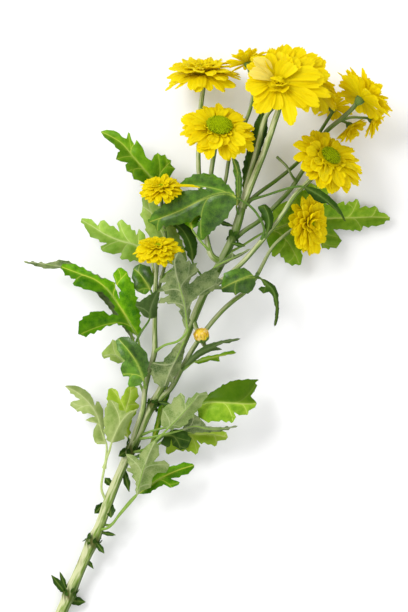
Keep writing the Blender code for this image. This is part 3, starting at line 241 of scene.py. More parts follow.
# Leaves. Each gives the stem route it grows from and the pixel where it does, the petiole's way
# (pixels and heights), the place of the tip in its outline, the pixel that its length is measured
# to where that isn't the tip, heights at base, middle and tip, the slope across the blade (roll),
# the rise of each half from the midrib (fold), the tone of its upper side, or of its under side
# (back) where that one is seen from above, the tone of its petiole, how much darker one half is
# painted as shade (painted_half_shade) and how strong its waves are. Then come the midrib's inner
# pixels, and its outline from the base round the tip and back (pixels). A leaf without a route
# grows from the first point of its way. with_stem marks the leaves that are one solid with the
# stem.
LEAVES = {
    "leaf_upper_left": dict(
        on=("left_high", (165, 232)), way=((163, 210, 24),), tip=26, heights=(22, 27, 20), roll=0.2,
        fold=0.12, tone="mid",
        midrib=((150.4, 176.6), (134.3, 158.2), (121.7, 143.3), (109, 135.3)),
        outline=((160, 185), (165, 181), (170, 176.5), (172.5, 172), (175.3, 168.3), (170.6, 164),
            (171, 159.8), (167.4, 158.6), (165, 154.3), (161.2, 155.4), (157.8, 152.6),
            (154, 155.4), (151.5, 160.5), (147, 158), (144.6, 153.5), (143, 148.5), (140.6, 145),
            (136.4, 139.6), (134.5, 144.6), (131.5, 139.5), (128, 132), (126.4, 138.6),
            (122.6, 137), (118.8, 132.8), (113.8, 130.3), (106.5, 129.4), (100.4, 131.2),
            (104, 137), (109, 141), (114.5, 145), (120, 151), (116, 159.2), (121, 161.6),
            (127.6, 163), (126.6, 171.4), (131.6, 173), (133.8, 179.4), (139, 180.6),
            (145, 183.5))),
    "leaf_big_front": dict(
        on=("pale", (263, 240)), way=((264, 229, 43), (259, 217, 44.5), (250, 206, 45)), tip=18,
        heights=(45, 42, 36), roll=-0.12, fold=-0.06, tone="dark", petiole="dark", painted_half_shade=0.3,
        midrib=((228, 193.4), (215.7, 194.7), (201.4, 199.8), (181, 210), (162.7, 217.1)),
        outline=((236, 197.5), (232, 190.5), (226, 184.5), (218, 177.5), (210, 174.8), (201, 174.3),
            (191, 176.8), (184, 180.4), (179, 184), (187, 186), (206, 187.6), (206, 189.2),
            (186, 190.6), (175, 195.5), (167.5, 199.5), (163.5, 204), (160.5, 208), (154.5, 211),
            (148.4, 222), (154.5, 225.3), (157, 231), (163.7, 225), (176, 224.3), (186.6, 221.7),
            (195.3, 217.1), (200, 214.9), (200.8, 218), (198, 227), (198, 236), (200.4, 240.1),
            (207.6, 234.5), (216.7, 226.3), (225, 219), (229.5, 212), (234, 206))),
    "leaf_left_pale": dict(
        on=("left", (155.5, 290)), way=((153, 268, 25),), tip=14, heights=(23, 24, 15), roll=0.1,
        fold=0.1, tone="fresh", petiole="pale",
        midrib=((133.1, 244.3), (120.5, 240.9), (104.4, 234), (92, 226)),
        outline=((150, 253), (146, 240), (143.5, 232.8), (138.9, 228.8), (136.6, 235),
            (127.4, 224.8), (118.8, 220.8), (119.4, 231.7), (110.2, 226), (100.4, 220.8),
            (97.6, 225.4), (88.5, 218.5), (85, 218.2), (81.5, 218), (80.9, 219.5), (88.9, 233.4),
            (98.7, 239.7), (106.7, 243.2), (101, 249.5), (110.2, 253.5), (121.7, 252.9),
            (119.9, 258.1), (134.3, 260.4), (145, 258))),
    "leaf_left_long": dict(
        on=("left", (148, 374)), way=((143.5, 360, 24.5), (139.5, 346, 25.5)), tip=17,
        heights=(28, 36, 28), roll=0.1, fold=0.12, tone="bright", wave=1.5,
        midrib=((132.2, 327.8), (124.1, 313.5), (115.9, 301), (107.8, 290), (95.5, 280),
                (80.2, 274)),
        outline=((137.3, 336.5), (139.2, 326), (139.4, 313.5), (136.5, 301), (134, 288),
            (128.7, 276.7), (127, 271.6), (118, 268.1), (113.4, 273.2), (115, 281), (121, 291),
            (119.5, 298.5), (115.6, 289), (112.3, 281.5), (101.6, 279.3), (93.5, 274.7), (72, 264),
            (60.3, 266.5), (63.9, 272.7), (75.6, 279.3), (72.6, 283.4), (81.2, 287.4),
            (91.4, 290.5), (102.7, 292), (108.8, 298.2), (114.9, 306.3), (118.6, 315.3),
            (109.8, 315.5), (100.6, 311.4), (94, 311.4), (82.2, 319.6), (78.7, 328.8),
            (78.2, 333.9), (83.3, 335.9), (97.6, 330.3), (106.7, 325.7), (116.9, 323.2),
            (125.1, 325.7), (132, 333))),
    "leaf_left_behind": dict(
        on=("left", (146, 385)), way=((141, 365, 21),), tip=10, heights=(20, 22, 17), roll=0.1,
        fold=0.15, back="grey",
        midrib=((126, 320), (114, 301), (98, 284), (78, 271), (50, 265)),
        outline=((134, 342), (130, 322), (122, 304), (113, 290), (108, 281), (95, 274.5), (80, 267),
            (66.4, 260.9), (55.7, 261.2), (45.5, 263.5), (23, 261.4), (32.2, 264.5), (41.4, 267.3),
            (50.6, 268.6), (60, 268), (75, 275), (92, 288), (108, 306), (122, 325))),
    "leaf_left_broad": dict(
        on=("left", (145.5, 388)), tip=8, heights=(33, 34.5, 31), roll=-0.15, fold=0.1, tone="dark",
        midrib=((138, 365), (128.2, 350.2), (122, 343)),
        outline=((143.5, 380), (147, 370), (148, 360), (146, 352), (141, 346.5), (133.3, 341.5),
            (126.1, 337), (121, 336.9), (118, 338.5), (116.9, 347.1), (120.5, 354.3),
            (125.1, 360.4), (122, 363.5), (120.5, 368.6), (122, 373.7), (129.2, 376.7),
            (127.7, 383.9), (135.3, 386.5), (140, 385))),
    "leaf_left_toothed": dict(
        on=("left", (145, 393)), way=((140, 384, 20),), tip=7, heights=(19, 21, 17), roll=0.2,
        fold=0.1, tone="pale",
        midrib=((124, 362), (114, 355)),
        outline=((134, 372), (131, 362), (125, 352), (118.5, 342), (112.3, 339.5), (110, 344),
            (106.7, 347.1), (102.1, 356.3), (109.8, 357.3), (115.9, 362.4), (124, 362.5),
            (130, 371))),
    "leaf_dark_round": dict(
        on=("left", (155.3, 302)), tip=5, heights=(28.5, 29, 25), roll=0.1, fold=0.15, tone="dark",
        petiole="dark",
        midrib=((145, 281), (139, 273)),
        outline=((150.5, 290), (153.7, 281), (152.5, 273), (147, 266), (140, 263.5), (133.3, 268.5),
            (132, 275.7), (134, 283), (136.5, 291), (143, 294))),
    "leaf_big_grey": dict(
        on=("left", (154.2, 351)), way=((165, 345, 37), (178, 341, 44)), tip=28,
        points_to=(177, 251.8), heights=(47, 55, 66), roll=0.05, fold=-0.12, back="grey",
        midrib=((185.6, 313), (184.1, 302.9), (180, 287.6), (175.9, 272.2), (175, 260)),
        outline=((187.3, 331), (189.3, 318), (189.8, 308), (192.3, 301.4), (197.7, 296),
            (206.8, 292.3), (214.5, 289.6), (222.3, 286.4), (216, 284.6), (222.6, 279.6),
            (218.2, 277.6), (220.6, 273.2), (216.6, 271.6), (218.4, 267.4), (212.6, 268.2),
            (207.7, 271.4), (199.5, 275.9), (193.2, 281.4), (188.9, 284), (191.5, 277),
            (196.4, 274), (198.8, 269.4), (195.8, 266.6), (197.4, 262.8), (191.6, 264),
            (189.4, 260.4), (186.6, 261.8), (184.6, 257), (178.4, 252.4), (174.5, 254.6),
            (175, 258.6), (172, 261.4), (173.4, 266), (171, 270.8), (166.8, 272.6), (164.6, 276.6),
            (158.8, 281.2), (166.5, 282.6), (161.4, 286.6), (157.2, 292.4), (164, 291),
            (171.4, 295.6), (163.8, 298), (157.4, 303.4), (166, 301.8), (175, 303.6), (180.5, 309),
            (182.4, 318), (184, 326))),
    "leaf_grey_folded": dict(
        on=("left", (147.5, 377)), way=((140, 361, 28), (135.5, 346, 29.5), (140, 334, 32)), tip=4,
        heights=(37, 40, 41), roll=0.5, fold=0.1, tone="greydark", petiole="dark",
        midrib=((150.5, 309), (153.5, 300)),
        outline=((149.6, 318.8), (155.7, 317.6), (156.9, 305.3), (158.5, 296), (157.8, 290.5),
            (146.5, 297.1), (135.3, 305.3), (139, 310), (142.4, 314.5))),
    "leaf_grey_lower": dict(
        on=("main", (181, 347)), tip=10, heights=(31.5, 35, 32), roll=-0.2, fold=-0.12, back="grey",
        midrib=((177, 357), (170, 371)),
        outline=((184, 342), (184.5, 349), (182, 361), (178.5, 371), (173.5, 377.5), (176.5, 382),
            (172.5, 383.5), (169.8, 381.8), (169, 385), (167.5, 387), (164, 387.3), (156.7, 384),
            (152, 376), (151.5, 363), (163.5, 361.4), (171, 352), (178, 343))),
    "leaf_right_blades": dict(
        on=("right", (181.5, 369)), tip=6, heights=(30.5, 34, 32), roll=1.2, fold=0.2,
        tone="greydark", petiole="dark",
        midrib=((196, 355.5), (210, 348), (224, 342)),
        outline=((184.5, 366.8), (190.4, 357), (199.6, 349.2), (208.8, 344.1), (223.1, 340.5),
            (232, 339.2), (240.4, 338.8), (231, 342), (223.1, 343.1), (216, 346.5), (222, 349.4),
            (210.8, 351.2), (200.6, 356.3), (192.4, 362.5))),
    "leaf_right_low_blade": dict(
        on=("right", (180.5, 371)), way=((185, 368.5, 25),), tip=5, with_stem=True,
        heights=(23.5, 24, 21), roll=0.9, fold=0.1, tone="mid",
        midrib=((206, 358.8), (220, 355.8)),
        outline=((193.5, 362), (204.7, 357), (219, 354.3), (227.1, 351.7), (233.3, 350.4),
            (236.3, 352.8), (227.1, 354.8), (219, 356.8), (220, 361.4), (209.8, 360.4),
            (198.6, 364))),
    "leaf_narrow_dark": dict(
        on=("main", (209, 284)), way=((201, 275, 24),), tip=7, heights=(26, 29, 29), roll=0.2,
        fold=0.15, tone="deep", petiole="dark",
        midrib=((191.5, 250), (187.5, 238), (181.5, 229)),
        outline=((192.5, 262), (196.8, 252), (196.4, 240), (192.2, 229.4), (187, 224), (180, 220),
            (176, 220), (173.5, 223), (178, 230.4), (183.1, 239.6), (187.1, 251.8))),
    "leaf_pale_behind": dict(
        on=("left_high", (161.5, 278)), way=((167, 273, 21),), tip=10, heights=(18, 20, 17),
        roll=0.1, fold=0.1, tone="pale",
        midrib=((170, 250), (162, 233), (152, 214)),
        outline=((176, 265), (187.1, 260.4), (185.9, 253.5), (180, 239), (173.5, 224.8), (168, 214),
            (158, 206), (156.5, 194.5), (148, 190), (144, 196), (142.5, 206), (141.7, 212),
            (143.5, 220.2), (145.8, 227.1), (149.2, 236), (154, 250), (162, 262))),
    "leaf_hidden_bright": dict(
        on=("left_top", (210, 251)), way=((205.5, 246.7, 35.5), (199, 239, 35)), tip=4,
        with_stem=True, heights=(35, 33.5, 31), roll=0.1, fold=0.1, tone="bright",
        midrib=((189, 215),),
        outline=((192, 229), (198, 223), (200.4, 214.5), (197, 207), (186, 202), (182, 210),
            (184, 220))),
    "leaf_broad_dark": dict(
        on=("right", (257.5, 275)), tip=7, heights=(33, 39, 39), roll=-0.1, fold=-0.15, tone="dark",
        petiole="dark",
        midrib=((249.6, 276.5), (240.4, 279.5), (231, 283.5)),
        outline=((254.5, 276.5), (249.5, 271.2), (241.2, 268.2), (235, 269), (230.2, 270.6),
            (223.6, 276.7), (221.5, 283), (221, 289), (230.2, 292.6), (233.3, 292.6),
            (235.3, 295.6), (240, 292.4), (245.5, 293.3), (252.7, 290), (255.7, 283.9))),
    "leaf_drooping": dict(
        on=("right", (257, 276)), tip=8, heights=(28, 26, 18), roll=0.3, fold=0.1, tone="deep",
        petiole="dark",
        midrib=((267, 284), (272.5, 289.5), (276, 300), (277, 312)),
        outline=((260, 278.2), (265, 279.5), (270.2, 282.6), (275.9, 287.8), (278.2, 298.1),
            (278.8, 310.7), (277.6, 321.1), (276.8, 324), (274.8, 326.8), (275.2, 316.5),
            (275.5, 307.3), (272.5, 295.8), (269, 291.8), (263.3, 293.5), (258.1, 289),
            (261, 286.5), (265.5, 286.8))),
    "leaf_narrow_pale": dict(
        on=("main", (212, 279)), way=((212, 272, 36.5),), tip=4, heights=(36.8, 38, 38), roll=0.8,
        fold=0.1, back="grey",
        midrib=((224, 262), (236, 256.5)),
        outline=((214, 267.6), (224.1, 258.4), (232.2, 252.8), (235.3, 255), (250.6, 248.7),
            (241.4, 255.6), (231.2, 260.6), (221, 266.8))),
    "leaf_curled": dict(
        on=("pale", (264.5, 237.5)), tip=4, heights=(42.3, 42, 40.5), roll=-0.7, fold=0.15,
        tone="deep", petiole="dark",
        midrib=((269.2, 224), (267.8, 214)),
        outline=((267, 233.5), (272.5, 225.8), (273.1, 215.4), (270.2, 208.5), (263.3, 204.3),
            (258, 206.5), (261.5, 214), (265.2, 223))),
    "leaf_right_narrow": dict(
        on=("upper", (252, 199)), way=((262, 196.5, 34), (276, 192, 38), (289, 188, 43),
        (297, 186.5, 43.5)), tip=7, heights=(43.5, 44, 37), roll=0.6, fold=0.1, tone="deep",
        petiole="dark",
        midrib=((313, 191.5), (323, 198), (334, 207.5)),
        outline=((303.5, 186.7), (312.7, 187.5), (321.8, 191.3), (331, 198.2), (337.9, 206.3),
            (342, 212), (344.8, 217.7), (346, 221.2), (340.2, 214.3), (331, 206.3), (326.4, 203),
            (321.8, 203.4), (316.1, 200.5), (310.4, 194.8))),
    "leaf_right_big": dict(
        on=("main", (225, 253)), way=((240, 247, 22), (256, 237, 18)), tip=21,
        heights=(15.5, 6.8, 5.5), roll=0.0, fold=0.1, tone="lime",
        midrib=((276, 228.6), (292, 223.4), (310, 219.6), (327.6, 218.5), (350, 217.8), (375, 217)),
        outline=((267, 231), (269, 222), (272, 213), (280.5, 204), (289, 202), (296, 194),
            (303.5, 190.5), (311.5, 183.3), (316, 185.6), (321.8, 180.4), (326.4, 183.3),
            (328, 190), (326.5, 205), (336.8, 204), (344, 201.2), (345, 205.1), (358, 199.4),
            (359.7, 208), (377, 207.4), (379.3, 212), (385, 213.1), (390.2, 217.7), (378.1, 225.8),
            (363.2, 225.8), (362, 229.8), (349.4, 229.8), (333.3, 229.2), (339.6, 237.8),
            (337.9, 246.4), (325.3, 248.2), (320, 242), (312, 232), (304, 231), (299, 243),
            (302, 258), (300.6, 264.8), (287.4, 263.1), (279.4, 253.3), (274.2, 257.3),
            (266.7, 241.8))),
    "leaf_low_left": dict(
        on=("main", (107.5, 503)), way=((101.5, 489, 19), (104, 470, 22), (106.3, 456, 24)), tip=14,
        heights=(24, 20, 12), roll=-0.15, fold=0.1, tone="muted", petiole="pale",
        midrib=((101.5, 430), (97.5, 416), (90, 404), (78, 393)),
        outline=((106.6, 444), (105, 438), (104, 428), (103.5, 418), (102, 407), (96.6, 401),
            (95.2, 405.7), (93, 399), (90, 394), (83, 389), (79, 386.8), (75, 385.6), (69, 385.6),
            (66, 385.8), (64.5, 386.3), (69.6, 391.4), (79.8, 399.6), (70.6, 402.5), (75.7, 409.8),
            (88.5, 413.2), (95, 416.5), (90, 417.5), (85.4, 420), (91, 422), (97, 423.5), (94, 429),
            (93.1, 436), (95.1, 442.4))),
    "leaf_low_left_fold": dict(
        way=((104.2, 468, 22.2), (106.8, 458, 24.5), (109.6, 450, 27)), tip=9, heights=(30, 33, 30),
        roll=-0.3, fold=0.18, tone="muted", petiole="pale", painted_half_shade=1.6,
        midrib=((115.5, 433), (121.5, 421.5), (128, 414)),
        outline=((111.5, 443), (107, 437), (104.6, 428), (104.8, 416), (106.5, 406.5),
            (111.5, 400.2), (116, 402.5), (119, 410), (126, 413), (138, 408.8), (133.5, 414),
            (128.8, 423), (124.7, 435.3), (118, 441.5))),
    "leaf_low_left_bright": dict(
        on=("main", (133, 446)), tip=6, heights=(13.5, 11, 9), roll=0.1, fold=0.1, tone="yellow",
        midrib=((124, 424), (125.5, 411), (129.5, 397)),
        outline=((128, 437.5), (131.8, 419), (139, 404.7), (134.9, 401.6), (138, 393.5),
            (137.5, 388), (131, 384.5), (126.5, 388), (120.6, 399.6), (116, 389.4), (111.4, 387.9),
            (107.3, 396.5), (110, 410), (116, 424))),
    "leaf_right_pale": dict(
        on=("main", (134.5, 455)), way=((144, 449.5, 24), (156, 440, 28)), tip=10,
        heights=(31, 37, 37), roll=0.15, fold=-0.12, back="pale",
        midrib=((181.4, 414.9), (191, 404)),
        outline=((168.2, 428.6), (161, 425.5), (161.5, 415), (162.6, 408.8), (171.2, 403.7),
            (176.3, 397), (180.8, 392.5), (185, 396.5), (185, 403.7), (191.6, 397.6),
            (199.5, 393.4), (208, 394.5), (197.5, 409.5), (188.6, 420), (181.4, 427.5))),
    "leaf_right_green": dict(
        on=("main", (139, 435)), way=((152, 431, 21), (168, 426.5, 22), (182, 419, 23)), tip=11,
        heights=(25, 31, 24), roll=-0.25, fold=-0.15, tone="lime", painted_half_shade=-2.8,
        midrib=((208, 402.5), (231.4, 403), (246, 404)),
        outline=((196, 406), (200.8, 418.5), (212, 421), (221.2, 420), (233.5, 421.5), (236, 416.9),
            (234, 412.3), (241.6, 414.9), (247.8, 414.9), (248.8, 410.8), (254.9, 407.8),
            (256.9, 403.7), (250.8, 396.5), (254.4, 392), (255.4, 383.3), (259, 380.2),
            (250.8, 379.7), (232.4, 381.2), (220.2, 387.3), (207, 396))),
    "leaf_right_serrated": dict(
        on=("main", (138, 440)), way=((150, 437.5, 24.5), (166, 434, 26.5)), tip=6,
        heights=(27, 28, 26), roll=0.3, fold=0.1, back="grey",
        midrib=((194, 426), (208, 429), (223, 428.6)),
        outline=((182, 429.8), (187, 422), (194, 414), (201, 419.5), (206, 426.2), (223.3, 427.4),
            (237.6, 426.1), (223.3, 430.2), (212, 431.8), (196, 432.6), (188, 432))),
    "leaf_right_yellow": dict(
        on=("main", (133.5, 453)), way=((146, 451, 16), (164, 441, 14)), tip=12,
        heights=(12.5, 14, 11), roll=0.1, fold=0.1, tone="yellow",
        midrib=((196, 434), (212, 434.5)),
        outline=((181, 432), (172, 437), (166.1, 445.5), (168.2, 454.7), (176.3, 449.6),
            (185.5, 449.6), (197.8, 453.2), (198.8, 448.6), (196.7, 440.4), (203.9, 442.4),
            (216.6, 445.5), (217.5, 441.2), (227.9, 437.3), (226.5, 432.5), (220, 429.7),
            (205, 430.5))),
    "leaf_right_dark": dict(
        on=("main", (131.5, 461)), way=((142, 455.5, 21), (155, 443.5, 22)), tip=6,
        heights=(22, 23, 19), roll=-0.2, fold=0.15, tone="deep", petiole="dark",
        midrib=((173.5, 436.5), (178.5, 443.5)),
        outline=((165.1, 435.5), (175.3, 429.2), (181.4, 429.8), (187.6, 434.3), (190.6, 441.4),
            (186.5, 448.6), (180.4, 450.1), (175.3, 446.5), (171.2, 439), (169.2, 447),
            (161, 444))),
    "leaf_slit": dict(
        on=("main", (130, 464)), way=((143, 453, 12),), tip=4, with_stem=True, heights=(11, 13, 13),
        roll=0.3, fold=0.15, tone="bright",
        midrib=((156.5, 429), (160.5, 413), (165.5, 397)),
        outline=((151.2, 442.4), (153.8, 430), (157, 415.9), (161, 400), (167, 386), (171, 388),
            (169.5, 396), (164.5, 408.8), (160.5, 427.1), (156.5, 438))),
    "leaf_low_right": dict(
        on=("main", (100, 529)), way=((109.4, 527, 18), (120, 514.5, 21), (131, 502, 24)), tip=12,
        heights=(25, 31, 33), roll=0.1, fold=-0.12, back="pale",
        midrib=((139.5, 483), (143, 470), (148.5, 455)),
        outline=((136.5, 495.5), (135.9, 482.2), (132.9, 474.1), (126.9, 467.5), (130.8, 468),
            (128, 460), (125.7, 453.7), (131.8, 454.7), (139.2, 460), (141, 452.7), (145.1, 447),
            (150.2, 442.8), (155.3, 440.6), (158.9, 446.5), (158.9, 452), (154.3, 461.5),
            (161.4, 461), (169.6, 464.9), (167.6, 470), (157.3, 473.1), (152.5, 478), (151.5, 484),
            (142, 491))),
    "leaf_low_right_yellow": dict(
        on=("main", (101.5, 524.5)), way=((110, 525, 12), (121, 512, 15), (131, 500, 18)), tip=6,
        heights=(19, 21, 18), roll=-0.1, fold=0.12, tone="bright",
        midrib=((149, 486), (164, 476.5), (180, 469.5)),
        outline=((137.5, 494), (143, 484), (152, 475.5), (163, 467.5), (175.7, 465.5),
            (186.9, 462.9), (194.1, 465.4), (190, 472), (181.8, 475.1), (171, 478.6),
            (179.8, 482.2), (172.7, 487.3), (163.5, 484.5), (152.2, 490.6), (144, 494))),
    "leaf_crown_dark": dict(
        on=("main", (241.5, 209)), way=((243, 200, 28),), tip=5, heights=(28, 30, 31), roll=-0.15,
        fold=0.15, tone="deep", petiole="dark",
        midrib=((247.5, 172), (254, 148), (259.5, 127)),
        outline=((243.5, 192), (243, 175), (246, 155), (251, 137), (256, 120), (262, 110.5),
            (267, 117), (267, 132), (261, 150), (254, 170), (249, 184))),
    "leaf_crown_narrow": dict(
        on=("main", (239.5, 217)), tip=5, with_stem=True, heights=(40, 41, 40), roll=0.3, fold=0.1,
        tone="dark", petiole="dark",
        midrib=((238.5, 190), (237.5, 172)),
        outline=((236.5, 207), (241, 198), (242, 184), (240.5, 170), (237, 160), (232, 156.5),
            (233.5, 168), (235.5, 180), (235.5, 194))),
}
# How dark each branch is, from 0, pale, to 1, dark.
STEM_TONES = {
    "dark": 0.75, "upper": 0.8, "left_high": 0.6, "right": 0.4, "hooked_twig": 0.6,
    "top_middle": 0.55, "corner_side": 0.4, "corner_low": 0.4, "front": 0.5, "crown": 0.15,
}
OTHER_STEMS = 0.25
# Height in the picture in millimetres, from the focus, against how dark the main stem is.
STEM_SHADES = ((-180, -20, 60), (0.0, 0.25, 0.65))
# The points of MAIN_STEM that are its nodes, and the small scales round each.
NODE_POINTS = (3, 6, 10, 13, 18)
NODE_SCALES = 14
# Where the main stem is brown: picture pixel and radius in millimetres.
BROWN_SPOTS = (
    (68, 595, 2.2), (66.5, 591, 1.6), (77.5, 559.5, 2.6), (94, 541, 2.6), (131, 449, 2.4),
    (153, 403, 2.2),
)


# Meshes

WHOLE_TURN = 2 * math.pi
PHASES = (0, 6.3)
NEAR_FLOOR = 0.8  # heights below this are pressed together
LIT_WAY = np.array((-0.86, 0.25, 0.44))  # towards the picture's light
SOLID_SHARP, BLADE_SHARP = 60, 75  # degrees from which the edges of a piece are drawn sharp


class Shape:
    """Points, faces, each face's material and each point's named values, gathered for a piece."""

    def __init__(self, *value_names):
        self.points = []
        self.faces = []
        self.finishes = []
        self.values = {name: [] for name in value_names}

    def add(self, points, faces, finish=0, **values):
        first = len(self.points)
        self.points += [tuple(point) for point in points]
        self.faces += [tuple(first + index for index in face) for face in faces]
        self.finishes += [finish] * len(faces) if isinstance(finish, int) else list(finish)
        for name, kept in self.values.items():
            given = values.get(name, 0.0)
            kept += list(given) if hasattr(given, "__len__") else [given] * len(points)

    def add_blade(self, middle, thickness, finish=0, over=False, **values):
        """A thin blade round a grid of places. Its values are given on that grid."""
        points, faces = grid_blade(middle, thickness)
        if over:
            faces = [face[::-1] for face in faces]
        self.add(points, faces, finish, **{
            name: np.tile(np.broadcast_to(value, middle.shape[:2]).ravel(), 2)
            for name, value in values.items()})

    def piece(self, name, materials, nodes, sharp=BLADE_SHARP):
        """The finished object, standing for the frame's nodes."""
        mesh = bpy.data.meshes.new(name)
        placed = np.array(self.points)
        # Nothing goes below the floor.
        low = placed[:, 2] < NEAR_FLOOR
        placed[low, 2] = NEAR_FLOOR * np.exp(placed[low, 2] / NEAR_FLOOR - 1)
        mesh.from_pydata((placed * MM).tolist(), [], self.faces)
        mesh.polygons.foreach_set("material_index", self.finishes)
        for material in materials:
            mesh.materials.append(material)
        for value_name, kept in self.values.items():
            layer = mesh.attributes.new(value_name, "FLOAT", "POINT")
            layer.data.foreach_set("value", kept)
        mesh.shade_smooth()
        mesh.set_sharp_from_angle(angle=math.radians(sharp))
        made = bpy.data.objects.new(name, mesh)
        bpy.context.scene.collection.objects.link(made)
        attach(made, "root")
        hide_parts(*nodes)


def unit(ways):
    """Vectors, one or many, at length 1."""
    return ways / np.maximum(np.linalg.norm(ways, axis=-1, keepdims=True), 1e-9)


def grid_of(x, y, z):
    """Points from coordinates that are spread over one grid."""
    return np.stack(np.broadcast_arrays(x, y, z), axis=-1)


def blade_grid(rows, columns, end=1.0):
    """Shares of a blade's length, down a column, and of its half width, along a row."""
    return np.linspace(0, end, rows)[:, None], np.linspace(-1, 1, columns)[None, :]


def run_along(places):
    """How far along a row of places each one lies."""
    return np.concatenate(([0], np.cumsum(np.linalg.norm(np.diff(places, axis=0), axis=1))))


def rings_faces(levels, sides):
    """The faces of a closed solid through rings of points. The last two are its ends."""
    faces = []
    for level in range(levels - 1):
        low, high = level * sides, (level + 1) * sides
        for side in range(sides):
            after = (side + 1) % sides
            faces.append((low + side, low + after, high + after, high + side))
    faces.append(tuple(range(sides))[::-1])
    faces.append(tuple((levels - 1) * sides + side for side in range(sides)))
    return faces


def smooth_route(points, spacing):
    """Rows of numbers (x, y, z, radius) along a smooth curve through the given rows."""
    rows = np.array([list(point) for point in points], float)
    found = []
    count = len(rows)
    for index in range(count - 1):
        start, end = rows[index], rows[index + 1]
        before = rows[index - 1] if index else 2 * start - end
        after = rows[index + 2] if index + 2 < count else 2 * end - start
        length = np.linalg.norm((end - start)[:3])
        reach = [max(np.linalg.norm((b - a)[:3]), 1e-6) ** 0.5
                 for a, b in ((before, start), (start, end), (end, after))]
        t0, t1, t2, t3 = 0, reach[0], reach[0] + reach[1], reach[0] + reach[1] + reach[2]
        steps = max(2, int(length / spacing))
        for step in range(steps):
            t = t1 + (t2 - t1) * step / steps
            a1 = (t1 - t) / (t1 - t0) * before + (t - t0) / (t1 - t0) * start
            a2 = (t2 - t) / (t2 - t1) * start + (t - t1) / (t2 - t1) * end
            a3 = (t3 - t) / (t3 - t2) * end + (t - t2) / (t3 - t2) * after
            b1 = (t2 - t) / (t2 - t0) * a1 + (t - t0) / (t2 - t0) * a2
            b2 = (t3 - t) / (t3 - t1) * a2 + (t - t1) / (t3 - t1) * a3
            found.append((t2 - t) / (t2 - t1) * b1 + (t - t1) / (t2 - t1) * b2)
    found.append(rows[-1])
    return np.array(found)


def smooth_line(points, spacing):
    """A smooth flat curve through points."""
    return smooth_route([(*point, 0.0, 0.0) for point in points], spacing)[:, :2]


def tube(rows, sides, ribs=0, rib_depth=0.0, round_end=False):
    """Points, faces and named values of a tube along rows of (x, y, z, radius): ribs, how far each
    point turns to the light, its place round the tube and how far along it lies."""
    places, radii = rows[:, :3], rows[:, 3]
    along = unit(np.gradient(places, axis=0))
    aside = np.cross(along[0], UP)
    if np.linalg.norm(aside) < 0.1:
        aside = np.cross(along[0], (0.0, 1.0, 0.0))
    points, values = [], {"rib": [], "lit": [], "round_x": [], "round_y": [], "run": []}
    if round_end:
        places = np.vstack((places, places[-1] + along[-1] * radii[-1] * 0.5))
        along = np.vstack((along, along[-1]))
        radii = np.append(radii, radii[-1] * 0.55)
    for place_now, way, radius, run in zip(places, along, radii, run_along(places)):
        aside = unit(aside - way * aside.dot(way))
        other = np.cross(aside, way)
        for side in range(sides):
            angle = WHOLE_TURN * side / sides
            rib = math.cos(ribs * angle) if ribs else 0.0
            out = math.cos(angle) * aside + math.sin(angle) * other
            points.append(place_now + radius * (1 + rib_depth * rib) * out)
            values["rib"].append(0.5 + 0.5 * rib)
            values["lit"].append(0.5 + 0.5 * out.dot(LIT_WAY))
            values["round_x"].append(math.cos(angle))
            values["round_y"].append(math.sin(angle))
            values["run"].append(run)
    return points, rings_faces(len(places), sides), values


def grid_blade(middle, thickness):
    """Points and faces of a thin closed blade round a grid of middle points."""
    normal = unit(np.cross(np.gradient(middle, axis=1), np.gradient(middle, axis=0)))
    offset = normal * np.asarray(thickness)[..., None] / 2
    rows, columns = middle.shape[:2]
    points = np.vstack(((middle + offset).reshape(-1, 3), (middle - offset).reshape(-1, 3)))
    size = rows * columns
    faces = []
    for row in range(rows - 1):
        for column in range(columns - 1):
            a = row * columns + column
            b, c, d = a + 1, a + columns + 1, a + columns
            faces.append((a, b, c, d))
            faces.append((size + d, size + c, size + b, size + a))
    rim = [*range(columns), *[row * columns + columns - 1 for row in range(1, rows)],
           *range((rows - 1) * columns + columns - 2, (rows - 1) * columns - 1, -1),
           *[row * columns for row in range(rows - 2, 0, -1)]]
    for start, end in zip(rim, rim[1:] + rim[:1]):
        faces.append((end, start, size + start, size + end))
    return points, faces


# Blooms

SHORT_PETAL = 0.25  # petals shorter than this, against the bloom's radius, stand only in front
WIDEST_PETAL = 0.42  # against the bloom's radius
# What is drawn for each petal lies between these: how far it stands off its turn, the degrees that
# it is raised and its tip is curled by, its length and width against its row's, its cup against
# its row's, its notches, how much shorter its sides are, where it is widest, the waves of its
# edge, and the degrees that it is twisted and turned aside by.
PETAL_TURNS, PETAL_RAISES, PETAL_CURLS = (-0.28, 0.28), (-8, 8), (-22, 22)
PETAL_LENGTHS, PETAL_WIDTHS, PETAL_CUPS = (0.82, 1.02), (0.78, 1.2), (0.0, 1.8)
NOTCHES, SHORTER_SIDES, WIDEST_PLACES = (0.0, 0.085), (0.12, 0.24), (0.62, 0.76)
RUFFLES, TWISTS, SWAYS = (0.03, 0.12), (-25, 25), (-11, 11)
PETAL_THICKNESS, THINNER_EDGE = 0.45, 0.25
GROOVE_PLACE, GROOVE_WIDTH, GROOVE_DEPTH = 0.4, 0.16, 0.05
CLOSED_CORE = 0.55  # how narrow a receptacle is against the frame's, unless its bloom says
CORE_PROFILE = ((0.17, -0.19), (0.33, -0.08), (0.35, 0.035))
CORE_SHARE = 0.94
CUP_PROFILE = ((0.05, -0.16), (0.2, -0.07), (0.23, 0.0))
CUP_SHARE = 0.85
CURL_START = 0.6  # the share of a petal's length from which its tip curls
DISC_PROFILE = ((1, 0), (1, 0.2), (0.75, 0.7), (0.4, 0.94), (0.05, 1))
GOLDEN_ANGLE = 2.399963
FLORET_SIDES = 6
FEWEST_FLORETS, FLORETS_BY_AREA = 25, 1900
EDGE_LEAN = 52  # degrees that the florets at a disc's edge lean by
# Florets past OPENING of a disc's radius may be open, as many of them as OPEN_SHARE.
OPENING, OPEN_SHARE = 0.72, 0.6
